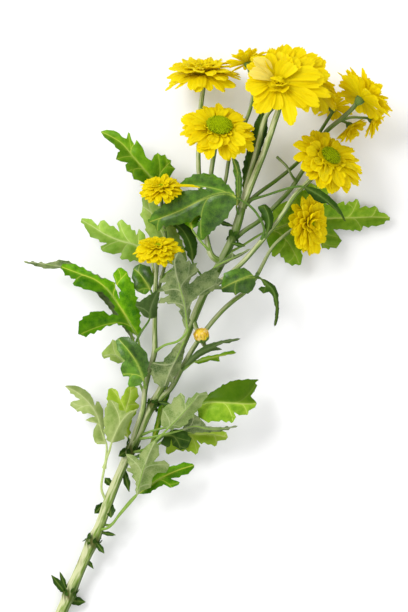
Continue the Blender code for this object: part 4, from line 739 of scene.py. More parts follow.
# A floret's rings: radius and height against its own, and how pale they are.
OPEN_FLORET = ((0.7, -0.4, 0.0), (0.75, 0.5, 0.35), (1.0, 1.0, 1.0), (0.5, 0.75, 0.5),
               (0.05, 0.6, 0.2))
CLOSED_FLORET = ((0.75, -0.4, 0.0), (0.85, 0.35, 0.3), (0.62, 0.8, 0.75), (0.2, 1.0, 1.0))
# Rows of bracts under a bloom: how many, then radius and height at root and tip against the
# bloom's radius.
BRACT_ROWS = (
    (9, 0.08, -0.325, 0.25, -0.155), (11, 0.13, -0.295, 0.3, -0.12),
    (12, 0.18, -0.26, 0.345, -0.075),
)
# Rows of the bud's petals: how many, and the heights of their roots and tips in millimetres.
BUD_ROWS = (
    (13, -3.4, 1.6), (13, -3.0, 2.6), (12, -2.4, 3.5), (10, -1.0, 4.2), (8, 0.6, 4.7),
    (6, 1.8, 5.1),
)
# Rows of its bracts: how many, and the heights of their tips. All start at BUD_FOOT.
BUD_BRACT_ROWS = ((7, 0.6), (7, -0.8))
BUD_FOOT = -5.2
BRACT_THICKNESS = 0.35
BUD_THICKNESS = 0.3


def flower_frame(bloom):
    """The matrix that takes a bloom's own axes, with +Z the way it faces, into the spray."""
    axis = Vector(bloom["faces"]).normalized()
    across = axis.cross(Vector((0, 1, 0)))
    across = across.normalized() if across.length > 0.05 else Vector((1, 0, 0))
    frame_now = Matrix((across, axis.cross(across), axis)).transposed().to_4x4()
    frame_now.translation = place(*bloom["at"])
    return frame_now


def into(frame_now, points):
    """Points in a bloom's own axes, taken into the spray."""
    matrix = np.array(frame_now)
    return np.asarray(points) @ matrix[:3, :3].T + matrix[:3, 3]


def turned_to(turn, out, across, up):
    """Points out from a flower's axis, across that way and along the axis, turned about it."""
    return grid_of(out * math.cos(turn) - across * math.sin(turn),
                   out * math.sin(turn) + across * math.cos(turn), up)


def turned(profile, sides, frame_now):
    """A solid turned about a frame's Z: the profile gives radius and height from the axis."""
    angles = [WHOLE_TURN * side / sides for side in range(sides)]
    points = [(radius * math.cos(angle), radius * math.sin(angle), height)
              for radius, height in profile for angle in angles]
    return into(frame_now, points), rings_faces(len(profile), sides)


def fine_petal(shape, frame_now, draw, turn, reach, width, start, slopes, curl, cup, sag,
               finish=0):
    """One petal as a thin blade with a round, notched tip, two grooves and a waved edge."""
    spans = np.linspace(0, 1.02, 52)
    curled = curl * np.clip((spans - CURL_START) / (1 - CURL_START), 0, 1) ** 2
    slope = np.radians(slopes[0] + (slopes[1] - slopes[0]) * spans + curled)
    step = reach * (spans[1] - spans[0])
    radial = start[0] + np.concatenate(([0], np.cumsum(np.cos(slope[:-1]) * step)))
    height = start[1] + np.concatenate(([0], np.cumsum(np.sin(slope[:-1]) * step)))
    steps, u = blade_grid(11, 11)
    side = np.abs(u)
    notches = np.array([draw.uniform(*NOTCHES) * (column % 2) for column in range(u.size)])
    v = steps * (1 - draw.uniform(*SHORTER_SIDES) * side ** 2.4 - notches)
    widest = draw.uniform(*WIDEST_PLACES)
    wide = np.where(v < widest,
                    0.36 + 0.64 * np.sin(np.clip(v / widest, 0, 1) * math.pi / 2) ** 1.3,
                    1 - 0.24 * ((v - widest) / (1 - widest)) ** 2)
    half = width / 2 * wide
    phase, ruffle = draw.uniform(*PHASES), draw.uniform(*RUFFLES)
    groove = GROOVE_DEPTH * np.exp(-((side - GROOVE_PLACE) / GROOVE_WIDTH) ** 2)
    waves = ruffle * side ** 2 * np.sin(phase + 6.5 * v + 1.5 * u) * v
    lift = width * wide * (cup * (side ** 2 - 0.3) - groove + waves)
    twist = math.radians(draw.uniform(*TWISTS)) * v
    sway = math.tan(math.radians(draw.uniform(*SWAYS))) * reach * v ** 2
    at_slope = np.interp(v, spans, slope)
    across = half * u * np.cos(twist) - lift * np.sin(twist) + sway
    rise = half * u * np.sin(twist) + lift * np.cos(twist)
    out = np.interp(v, spans, radial) - rise * np.sin(at_slope)
    up = np.interp(v, spans, height) + rise * np.cos(at_slope)
    middle = into(frame_now, turned_to(turn, out, across, up))
    middle[..., 1] -= sag * steps ** 2
    thickness = np.broadcast_to(PETAL_THICKNESS - THINNER_EDGE * side ** 2, v.shape)
    # The blade's upper side faces the way its bloom does.
    shape.add_blade(middle, thickness, finish, over=True, along=v, across=u, tone=draw.random())


def build_petals(name, bloom, frame_now, radius, seed):
    """All petals of a bloom on their receptacle."""
    draw = random.Random(seed)
    shape = Shape("along", "across", "tone")
    narrow = bloom.get("core", CLOSED_CORE)
    profile = [(r * radius * CORE_SHARE * narrow, h * radius) for r, h in CORE_PROFILE]
    shape.add(*turned(profile, 24, frame_now), tone=1.0)
    for level, (count, reach, start, slopes, curl, share, cup) in enumerate(bloom["rows"]):
        spread = WHOLE_TURN * (start[0] + 0.78 * reach) / count
        widest = min(spread * share, WIDEST_PETAL) * radius
        root = start[0] * narrow
        reach += start[0] - root
        for index in range(count):
            turn = WHOLE_TURN * (index + 0.5 * level + draw.uniform(*PETAL_TURNS)) / count
            raised = bloom["cup"][0 if level < 2 else 1] + draw.uniform(*PETAL_RAISES)
            squeezed = 1 - (1 - bloom.get("squeeze", 1)) * math.cos(turn) ** 2
            length = reach * radius * draw.uniform(*PETAL_LENGTHS) * squeezed
            width = widest * draw.uniform(*PETAL_WIDTHS)
            tip = curl + draw.uniform(*PETAL_CURLS) * (1 if level < 3 else 2)
            cupped = cup * draw.uniform(*PETAL_CUPS)
            if reach < SHORT_PETAL and math.sin(turn) < -0.2:
                continue
            fine_petal(shape, frame_now, draw, turn, length, width,
                       (root * radius, start[1] * radius),
                       (slopes[0] + raised, slopes[1] + raised), tip, cupped, bloom["sag"])
    for turn, length, width, root, slopes, curl, cup, finish in bloom.get("special", ()):
        fine_petal(shape, frame_now, draw, math.radians(turn), length * PIXEL, width * PIXEL,
                   (root * radius, -0.02 * radius), slopes, curl, cup, bloom["sag"], finish)
    shape.piece(name + "_petals_fine", [PETAL, PETAL_PAINTED_HIGHLIGHT], [name + "_petals"])


def build_disc(name, bloom, frame_now, radius, seed):
    """The florets of a disc, set in spirals on a low dome."""
    draw = random.Random(seed + 500)
    base = CORE_PROFILE[-1][1] * radius + CLEARANCE
    wide = bloom["disc"] * radius
    top = bloom.get("dome", 0.45) * wide
    dome = [(wide * r, top * h) for r, h in DISC_PROFILE]
    outs, heights = zip((0.0, top), *dome[3:0:-1])
    shape = Shape("tip", "tone")
    shape.add(*turned([(r, h + base) for r, h in dome], 24, frame_now), tone=0.2)
    count = round(FEWEST_FLORETS + FLORETS_BY_AREA * bloom["disc"] ** 2 * bloom["size"])
    for index in range(count):
        share = math.sqrt((index + 0.5) / count)
        from_axis = share * wide * 0.97
        angle = index * GOLDEN_ANGLE
        height = float(np.interp(from_axis, outs, heights))
        lean = math.radians(EDGE_LEAN * share ** 2 + draw.uniform(-5, 5))
        size = wide / math.sqrt(count) * (1.0 + 0.1 * draw.uniform(-1, 1))
        tall = size * (1.2 + 0.5 * share) * draw.uniform(0.85, 1.15)
        outward = np.array((math.cos(angle), math.sin(angle), 0.0))
        aside = np.array((-math.sin(angle), math.cos(angle), 0.0))
        axis = outward * math.sin(lean) + UP * math.cos(lean)
        other = np.cross(axis, aside)
        foot = outward * from_axis + UP * (height + base)
        opened = share > OPENING and draw.random() < OPEN_SHARE
        levels = OPEN_FLORET if opened else CLOSED_FLORET
        points, tips = [], []
        for wider, up, tip in levels:
            for side in range(FLORET_SIDES):
                spin = WHOLE_TURN * (side + 0.5 * index) / FLORET_SIDES
                flare = 1.25 if opened and up == 1.0 and side % 2 else 1.0
                ring = math.cos(spin) * aside + math.sin(spin) * other
                points.append(foot + axis * up * tall + size * wider * flare * ring)
                # A shade below 1 darkens the florets' tips: painted shade over a disc that its
                # petals hide.
                tips.append(tip * bloom.get("shade", 1))
        shape.add(into(frame_now, points), rings_faces(len(levels), FLORET_SIDES), tip=tips,
                  tone=min(1.0, share ** 3 * draw.uniform(0.6, 1.1)))
    shape.piece(name + "_florets", [DISC], [name + "_disc"], SOLID_SHARP)


def cup_top(radius):
    """The height of a cup's top on its bloom's axis."""
    return CORE_PROFILE[0][1] * radius - CLEARANCE


def build_cup(name, bloom, frame_now, radius, seed):
    """The green cup under a bloom and its overlapping bracts, in three rows."""
    draw = random.Random(seed + 900)
    shape = Shape("vein", "tone")
    narrow = bloom.get("core", CLOSED_CORE)
    profile = [(r * radius * CUP_SHARE * narrow, h * radius + cup_top(radius))
               for r, h in CUP_PROFILE]
    shape.add(*turned(profile, 20, frame_now), vein=0.6)
    spans, u = blade_grid(6, 5)
    bow = np.sin(spans * math.pi) * 0.025
    for row, (count, low_r, low_h, high_r, high_h) in enumerate(BRACT_ROWS):
        width = WHOLE_TURN * 0.24 * radius * narrow / count * 1.15
        at_r = (low_r + (high_r - low_r) * spans + bow) * radius * narrow
        at_h = (low_h + (high_h - low_h) * spans ** 1.4 - bow * 0.6) * radius
        half = width / 2 * np.interp(spans, (0, 0.4, 0.75, 1), (0.7, 1.0, 0.75, 0.12))
        for index in range(count):
            turn = WHOLE_TURN * (index + 0.5 * row + draw.uniform(-0.1, 0.1)) / count
            middle = turned_to(turn, at_r - 0.12 * half * u ** 2, half * u, at_h)
            shape.add_blade(into(frame_now, middle), BRACT_THICKNESS,
                            vein=np.exp(-(u / 0.3) ** 2), tone=draw.random())
    shape.piece(name + "_bracts", [BRACT], ["stem"])


def build_bud():
    """The closed bud: petals folded over each other above a small green cup."""
    draw = random.Random(12)
    frame_now = flower_frame(BUD)
    radii, levels = np.array(BUD_PROFILE).T
    shape = Shape("along", "across", "tone")
    inner = [(radius * 0.86, height) for radius, height in BUD_PROFILE]
    shape.add(*turned(inner, 20, frame_now), tone=0.3)
    spans, u = blade_grid(9, 7)
    for row, (count, low, high) in enumerate(BUD_ROWS):
        half = (WHOLE_TURN * 3.6 / count * 0.43
                * np.interp(spans, (0, 0.5, 0.85, 1), (0.6, 1, 0.85, 0.4)))
        for index in range(count):
            turn = WHOLE_TURN * (index + 0.5 * row + draw.uniform(-0.1, 0.1)) / count
            at_h = low + (high - low) * spans
            high += draw.uniform(-0.4, 0.4)
            lifted = 1.1 - 0.12 * row + draw.uniform(-0.4, 0.7)
            at_r = np.interp(at_h, levels, radii) * 0.98 + lifted * spans ** 2
            closing = np.maximum(radii[-1] - (at_h - levels[-1]), 0.2)
            at_r = np.where(at_h > levels[-1], closing, at_r)
            angle = turn + half * u / np.maximum(at_r, 1.2)
            out = at_r + 0.12 * (1 - u ** 2)
            middle = grid_of(out * np.cos(angle), out * np.sin(angle), at_h)
            shape.add_blade(into(frame_now, middle), BUD_THICKNESS,
                            along=spans, across=u, tone=draw.random())
    shape.piece("bud_petals", [BUD_LOOK], ["bud"])
    shape = Shape("vein", "tone")
    spans, u = blade_grid(6, 5)
    half = 1.9 * np.interp(spans, (0, 0.4, 0.8, 1), (0.7, 1, 0.6, 0.1))
    for row, (count, high) in enumerate(BUD_BRACT_ROWS):
        at_h = BUD_FOOT + (high - BUD_FOOT) * spans
        at_r = np.interp(at_h, levels, radii) + 0.55 + 0.2 * row
        for index in range(count):
            angle = WHOLE_TURN * (index + 0.5 * row) / count + half * u / np.maximum(at_r, 1.0)
            middle = grid_of(at_r * np.cos(angle), at_r * np.sin(angle), at_h)
            shape.add_blade(into(frame_now, middle), BUD_THICKNESS,
                            vein=np.exp(-(u / 0.25) ** 2), tone=draw.random())
    shape.piece("bud_bracts", [BRACT], ["stem"])


# Stems

HAIR_FACES = ((0, 1, 2), (0, 3, 1), (1, 3, 2), (2, 3, 0))
STEM_SIDES, STEM_RIBS, RIB_DEPTH = 48, 9, 0.035
BRANCH_SIDES, BRANCH_RIBS, BRANCH_RIB_DEPTH = 24, 6, 0.05
STEM_SPACING, BRANCH_SPACING = 1.2, 1.3
# Hairs for each square millimetre of a stem's length times its radius, and their length.
STEM_HAIRS, BRANCH_HAIRS = (0.12, 0.7), (0.15, 0.45)
NODE_WIDTH = 3.3  # how far a node's dark reaches
BRANCH_FLARE, FLARE_LENGTH = 0.35, 3.5
LEAFLET_THICKNESS = 0.4
LEAFLET_VEIN, SCALE_VEIN = 0.7, 0.1


def hairs(shape, rows, draw, each, length):
    """Fine hairs that stand out of a stem."""
    places, radii = rows[:, :3], rows[:, 3]
    for index in range(len(places) - 1):
        way = places[index + 1] - places[index]
        gap = np.linalg.norm(way)
        way = way / gap
        aside = unit(np.cross(way, UP))
        other = np.cross(aside, way)
        for _ in range(int(each * gap * radii[index] + draw.random())):
            spot = places[index] + way * gap * draw.random()
            angle = draw.uniform(0, WHOLE_TURN)
            out = math.cos(angle) * aside + math.sin(angle) * other
            root = spot + out * radii[index] * 0.97
            lean = unit(out + way * draw.uniform(-0.2, 0.6))
            tip = root + lean * length * draw.uniform(0.6, 1.2)
            beside = np.cross(out, way) * 0.06
            foot = root - way * 0.04
            shape.add([root + way * 0.07, foot + beside, foot - beside, tip], HAIR_FACES, 2)


def build_stem():
    """The main stem and its branches, ribbed, with the cut end, hairs and dark nodes."""
    draw = random.Random(77)
    shape = Shape("rib", "node", "dark", "lit", "brown", "round_x", "round_y", "run")
    rows = smooth_route([(*place(*point[:3]), point[3]) for point in MAIN_STEM], STEM_SPACING)
    rows[:, 3] *= 1 + 0.03 * np.sin(np.arange(len(rows)) * 0.23)
    points, faces, values = tube(rows, STEM_SIDES, STEM_RIBS, RIB_DEPTH)
    nodes = [(np.array(place(*point[:3])), point[3])
             for point in (MAIN_STEM[index] for index in NODE_POINTS)]
    spots = [(np.array(place(x, y, 0).xy), wide) for x, y, wide in BROWN_SPOTS]
    marks, browns = [], []
    for point in points:
        near = min(math.sqrt(max(np.linalg.norm(point - node) ** 2 - radius ** 2, 0))
                   for node, radius in nodes)
        uneven = 1 + 0.45 * math.sin(point[0] * 1.9 + point[2] * 2.3)
        marks.append(1.2 * math.exp(-(near / (NODE_WIDTH * uneven)) ** 2))
        browns.append(max(math.exp(-(np.linalg.norm(point[:2] - spot) / (wide * uneven)) ** 2)
                          for spot, wide in spots))
    finishes = [0] * len(faces)
    finishes[-2] = 1
    dark = np.interp([point[1] for point in points], *STEM_SHADES)
    shape.add(points, faces, finishes, node=marks, dark=dark, brown=browns, **values)
    hairs(shape, rows, draw, *STEM_HAIRS)
    # Where each branch ends: in its bloom's cup, or in the bud's.
    feet = {"bud": flower_frame(BUD) @ Vector((0, 0, BUD_PROFILE[0][1] - CLEARANCE))}
    for bloom in BLOOMS.values():
        radius = BLOOM_RADIUS * bloom["size"]
        foot = Vector((0, 0, cup_top(radius) + (CUP_PROFILE[0][1] + 0.06) * radius))
        feet[bloom["branch"]] = flower_frame(bloom) @ foot
    for name, control in BRANCHES.items():
        way = [(*place(*point[:3]), point[3]) for point in control]
        if name in feet:
            way.append((*feet[name], control[-1][3]))
        rows = smooth_route(way, BRANCH_SPACING)
        # The branch widens where it leaves its stem.
        rows[:, 3] *= 1 + BRANCH_FLARE * np.exp(-run_along(rows[:, :3]) / FLARE_LENGTH)
        points, faces, values = tube(
            rows, BRANCH_SIDES, BRANCH_RIBS, BRANCH_RIB_DEPTH, round_end=name not in feet)
        shape.add(points, faces, dark=STEM_TONES.get(name, OTHER_STEMS), **values)
        hairs(shape, rows, draw, *BRANCH_HAIRS)
    shape.piece("stem_ribbed", [STEM, CUT_END, HAIR], ["stem"], SOLID_SHARP)


def leaflet(shape, draw, start, end, width, out, vein_share):
    """One small pointed blade whose upper side faces out."""
    length = np.linalg.norm(end - start)
    along = (end - start) / length
    aside = unit(np.cross(along, out))
    spans, u = blade_grid(12, 7, 1.04)
    profile = np.interp(spans, (0, 0.15, 0.45, 0.62, 0.8, 0.95, 1.04),
                        (0.3, 0.5, 0.9, 1.0, 0.75, 0.3, 0.04))
    teeth = 1 + 0.1 * np.sin(spans * 19 + draw.uniform(0, 6))
    half = width / 2 * profile * teeth
    rise = draw.uniform(-0.08, 0.14) * length * spans ** 2 + 0.22 * half * np.abs(u) ** 1.5
    middle = (start + spans[..., None] * along * length + (half * u)[..., None] * aside
              + rise[..., None] * np.cross(aside, along))
    vein = np.exp(-(u * half / 0.3) ** 2) * vein_share
    shape.add_blade(middle, LEAFLET_THICKNESS, over=True, vein=vein)


def build_leaflets():
    """The small pointed leaves at the stem's nodes, and the ragged scales round each node."""
    draw = random.Random(31)
    shape = Shape("vein", "rim", "painted_half_shade", "beside")
    for root, tip, width in LEAFLETS:
        leaflet(shape, draw, np.array(place(*root)), np.array(place(*tip)), width, UP,
                LEAFLET_VEIN)
    for index in NODE_POINTS:
        centre, radius = np.array(place(*MAIN_STEM[index][:3])), MAIN_STEM[index][3]
        way = unit(np.array(place(*MAIN_STEM[index + 1][:3])) - centre)
        aside = unit(np.cross(way, UP))
        for turn in range(NODE_SCALES):
            angle = WHOLE_TURN * (turn + draw.uniform(-0.3, 0.3)) / NODE_SCALES
            out = math.cos(angle) * aside + math.sin(angle) * np.cross(aside, way)
            root = centre + out * radius * 0.95 + way * draw.uniform(-1.2, 1.2)
            lean = way * draw.choice((-0.7, 1.0, 1.0)) + out * draw.uniform(0.1, 0.5)
            turned_off = np.cross(way, out) * draw.uniform(-0.6, 0.6)
            reach = (lean + turned_off) * draw.uniform(2.2, 5.2)
            leaflet(shape, draw, root, root + reach, draw.uniform(1.8, 3.4), out, SCALE_VEIN)
    shape.piece("node_leaflets", [leaf_material("deep")], ["stem"])


# Leaves

# Edges longer than LEAST_TOOTHED are toothed, with teeth about TOOTH_LENGTH long.
LEAST_TOOTHED, TOOTH_LENGTH, TOOTH_HEIGHT = 5.0, 5.4, 1.3
TOOTH_PEAK = 0.72  # where a tooth is highest, as a share of its length
EDGE_SPACING = 0.7
GRID_SPACING = 1.25
RIB_SPACING = 1.2
# A vein's width at its root and its end, and its strength, for the midrib, its branches and theirs.
VEIN_WIDTHS = ((0.62, 0.26), (0.36, 0.16), (0.24, 0.14))
VEIN_STRENGTHS = (1.0, 0.7, 0.45)
RAISED_VEIN, SUNK_VEIN = 0.32, -0.16
LEAST_VEIN = 2.5  # from the midrib to a vein's end
BESIDE_VEIN = 0.45  # from a vein to the points beside it
# The least distances of inner points from the edge, from the veins, and of vein points from the
# edge and from each other.
GRID_TO_EDGE, GRID_TO_VEIN, VEIN_TO_EDGE, VEIN_POINT_GAP = 0.55, 0.6, 0.35, 0.28
RIM_WIDTH, WAVE_HEIGHT, WAVE_LENGTH = 2.6, 0.7, 4.3
QUILT_HEIGHT, QUILT_WIDTH, PAINTED_SHEEN_WIDTH = 1.5, 2.2, 1.7
HALF_THICKNESS, THINNER_RIM = 0.28, 0.13
TIP_BEND = 40  # degrees that an edge bends by at a lobe's tip
# A petiole's radius at the stem, on its way, and where its midrib begins and ends.
PETIOLE_RADII = (1.05, 0.8, 0.62, 0.2)
PETIOLE_SIDES = 12


def leaf_height(leaf):
    """The height of a leaf's middle surface as a function of points in the picture plane."""
    low, middle, high = leaf["heights"]
    root, end = leaf["outline"][0], leaf["outline"][leaf["tip"]]
    end = leaf.get("points_to", end)
    base, tip = (np.array(place(*pixel, at).xy) for pixel, at in ((root, low), (end, high)))
    length = np.linalg.norm(tip - base)
    forward = (tip - base) / length
    left = np.array((-forward[1], forward[0]))
    places = [np.array(place(*pixel, middle).xy) - base for pixel in (root, *leaf["midrib"], end)]
    spans = [point.dot(forward) for point in places]
    offsets = [point.dot(left) for point in places]

    def height(points):
        along = (points - base) @ forward
        across = (points - base) @ left
        span = np.clip(along / length, -0.25, 1.15)
        curve = (low + (4 * middle - 3 * low - high) * span
                 + (2 * low + 2 * high - 4 * middle) * span ** 2)
        from_rib = across - np.interp(along, spans, offsets)
        bend = np.sqrt(from_rib ** 2 + 1.0) - 0.6
        return curve + leaf["roll"] * across + leaf["fold"] * bend

    return height


def inside(points, outline):
    """Which points lie inside a closed outline."""
    found = np.zeros(len(points), bool)
    x, y = points[:, 0], points[:, 1]
    for (x0, y0), (x1, y1) in zip(outline, np.roll(outline, -1, axis=0)):
        crosses = (y0 > y) != (y1 > y)
        with np.errstate(divide="ignore", invalid="ignore"):
            found ^= crosses & (x < (x1 - x0) * (y - y0) / (y1 - y0) + x0)
    return found


def nearest_on(points, line):
    """The distance from each point to a polyline."""
    best = np.full(len(points), 1e9)
    for start, end in zip(line, line[1:]):
        way = end - start
        share = np.clip(((points - start) @ way) / max(way.dot(way), 1e-12), 0, 1)
        best = np.minimum(best, np.linalg.norm(points - start - share[:, None] * way, axis=1))
    return best


def well_inside(points, outline, gap):
    """The points that lie inside a closed outline and farther than a gap from it."""
    points = points[inside(points, outline)]
    return points[nearest_on(points, np.vstack((outline, outline[:1]))) > gap]


def signed_area(points):
    """Twice the area of a closed outline, above 0 where it runs anticlockwise."""
    return sum(points[at - 1][0] * points[at][1] - points[at][0] * points[at - 1][1]
               for at in range(len(points)))


def tooth(share, forward):
    """How far an edge stands out at a share of one tooth: teeth lean to the leaf's tip."""
    share = share if forward else 1 - share
    return (share / TOOTH_PEAK) ** 1.3 if share < TOOTH_PEAK else (1 - share) / (1 - TOOTH_PEAK)


def corner_ways(corners, turn_way):
    """The ways in which an edge enters and leaves each corner, and which corners are tips."""
    ways, tips = [], []
    for at, here in enumerate(corners):
        before, after = corners[at - 1], corners[(at + 1) % len(corners)]
        one, two = unit(here - before), unit(after - here)
        bend = math.degrees(math.atan2(one[0] * two[1] - one[1] * two[0], one.dot(two))) * turn_way
        mean = unit(one + two) if np.linalg.norm(one + two) > 0.2 else two
        sharp = min(bend / 22, 1) if bend > 0 else min(-bend / 60, 1) * 0.7
        ways.append((one * sharp + mean * (1 - sharp), two * sharp + mean * (1 - sharp)))
        if bend > TIP_BEND:
            tips.append(at)
    return ways, tips


def soft_outline(corners, tip, draw):
    """A leaf's edge through its corners: round in the bays, pointed at tips, toothed between."""
    count = len(corners)
    to_tip = corners[tip] - corners[0]
    area = signed_area(corners)
    turn_way = 1 if area > 0 else -1
    tooth_height = TOOTH_HEIGHT * min(1.0, abs(area / 2) / np.linalg.norm(to_tip) / 9.0)
    ways, tips = corner_ways(corners, turn_way)
    points = []
    for at in range(count):
        start, end = corners[at], corners[(at + 1) % count]
        length = np.linalg.norm(end - start)
        steps = max(2, int(length / EDGE_SPACING))
        teeth = round(length / TOOTH_LENGTH) if length > LEAST_TOOTHED else 0
        forward = (end - start).dot(to_tip) > 0
        heights = [tooth_height * draw.uniform(0.25, 1.45) for _ in range(teeth)]
        breaks = [(one + draw.uniform(-0.28, 0.28) * (0 < one < teeth)) / max(teeth, 1)
                  for one in range(teeth + 1)]
        normal = unit(np.array(((end - start)[1], -(end - start)[0]))) * turn_way
        out_way = ways[at][1] * length * 0.75
        in_way = ways[(at + 1) % count][0] * length * 0.75
        for step in range(steps):
            t = step / steps
            point = ((2 * t ** 3 - 3 * t ** 2 + 1) * start + (t ** 3 - 2 * t ** 2 + t) * out_way
                     + (-2 * t ** 3 + 3 * t ** 2) * end + (t ** 3 - t ** 2) * in_way)
            if step and teeth:
                one = int(np.searchsorted(breaks, t, "right")) - 1
                share = (t - breaks[one]) / (breaks[one + 1] - breaks[one])
                stands = heights[one] * tooth(share, forward) * min(1, 6 * t, 6 * (1 - t))
                point = point + normal * stands
            if step:
                point = point + normal * draw.uniform(-0.08, 0.08)
            points.append(point)
    return np.array(points), tips


def vein_to(end, lines, outline):
    """The best curve to a lobe's or a tooth's end from a vein, as cost, curve and rank."""
    best = None
    for line, rank in lines:
        if rank > 1:
            continue
        for index in range(len(line) - 1):
            way = unit(line[index + 1] - line[index])
            for share in (0.0, 0.5):
                root = line[index] + (line[index + 1] - line[index]) * share
                toward = end - root
                distance = np.linalg.norm(toward)
                if distance < 1.5:
                    continue
                cosine = way.dot(toward) / distance
                cost = distance * (1 + 1.6 * (1 - cosine)) * (1 + 0.12 * rank)
                if cosine < 0.25 or (best and cost > best[0]):
                    continue
                bow = root + way * distance * 0.35
                t = np.linspace(0, 1, max(4, int(distance / 1.6)))[:, None]
                curve = ((1 - t) ** 2 * root + 2 * t * (1 - t) * bow
                         + t ** 2 * (root + toward * 0.94))
                if inside(curve[1:-1], outline).all():
                    best = (cost, curve, rank + 1)
    return best


def vein_lines(ends, midrib, outline):
    """The midrib, and a vein to each end that leaves the nearest vein forward, with ranks."""
    lines = [(midrib, 0)]
    from_rib = nearest_on(np.array(ends), midrib) if ends else []
    for at in sorted(range(len(ends)), key=lambda at: -from_rib[at]):
        best = vein_to(ends[at], lines, outline) if from_rib[at] >= LEAST_VEIN else None
        if best:
            lines.append(best[1:])
    return lines


def staggered_grid(outline, draw):
    """Points in staggered rows over an outline's box, each a little off its place."""
    lowest, highest = outline.min(axis=0), outline.max(axis=0)
    grid = []
    y, odd = lowest[1], False
    while y < highest[1]:
        x = lowest[0] + (GRID_SPACING / 2 if odd else 0)
        while x < highest[0]:
            grid.append((x + draw.uniform(-0.2, 0.2), y + draw.uniform(-0.2, 0.2)))
            x += GRID_SPACING
        y += GRID_SPACING * 0.866
        odd = not odd
    return np.array(grid)


def vein_points(lines, outline):
    """Points along each vein and beside it, thinned where veins meet."""
    found = []
    for line, _ in lines:
        fine = smooth_line(line, 1.0)
        way = unit(np.gradient(fine, axis=0))
        normal = np.stack((-way[:, 1], way[:, 0]), axis=1)
        found += [fine + normal * offset for offset in (0.0, BESIDE_VEIN, -BESIDE_VEIN)]
    found = well_inside(np.vstack(found), outline, VEIN_TO_EDGE)
    tree = KDTree(len(found))
    for index, point in enumerate(found):
        tree.insert((*point, 0), index)
    tree.balance()
    return np.array([
        point for index, point in enumerate(found)
        if all(other >= index for _, other, _ in tree.find_range((*point, 0), VEIN_POINT_GAP))])


def vein_marks(flat, lines):
    """How strong the veins are at each point, and how far the nearest is."""
    strength = np.zeros(len(flat))
    nearest = np.full(len(flat), 1e9)
    for line, rank in lines:
        distance = nearest_on(flat, line)
        wide, narrow = VEIN_WIDTHS[min(rank, 2)]
        along = np.zeros(len(flat))
        best = np.full(len(flat), 1e9)
        for index, point in enumerate(line):
            gap = np.linalg.norm(flat - point, axis=1)
            along = np.where(gap < best, index / max(len(line) - 1, 1), along)
            best = np.minimum(best, gap)
        width = wide + (narrow - wide) * along
        here = VEIN_STRENGTHS[min(rank, 2)] * np.exp(-(distance / width) ** 2)
        strength = np.maximum(strength, here)
        nearest = np.minimum(nearest, distance)
    return strength, nearest


def upward(triangles, points):
    """Triangles turned to face up, and the normal at each point."""
    first, second, third = (points[triangles[:, corner]] for corner in range(3))
    face_normals = np.cross(second - first, third - first)
    flipped = face_normals[:, 2] < 0
    triangles[flipped] = triangles[flipped][:, ::-1]
    face_normals[flipped] *= -1
    normals = np.zeros_like(points)
    for corner in range(3):
        np.add.at(normals, triangles[:, corner], face_normals)
    return triangles, unit(normals)


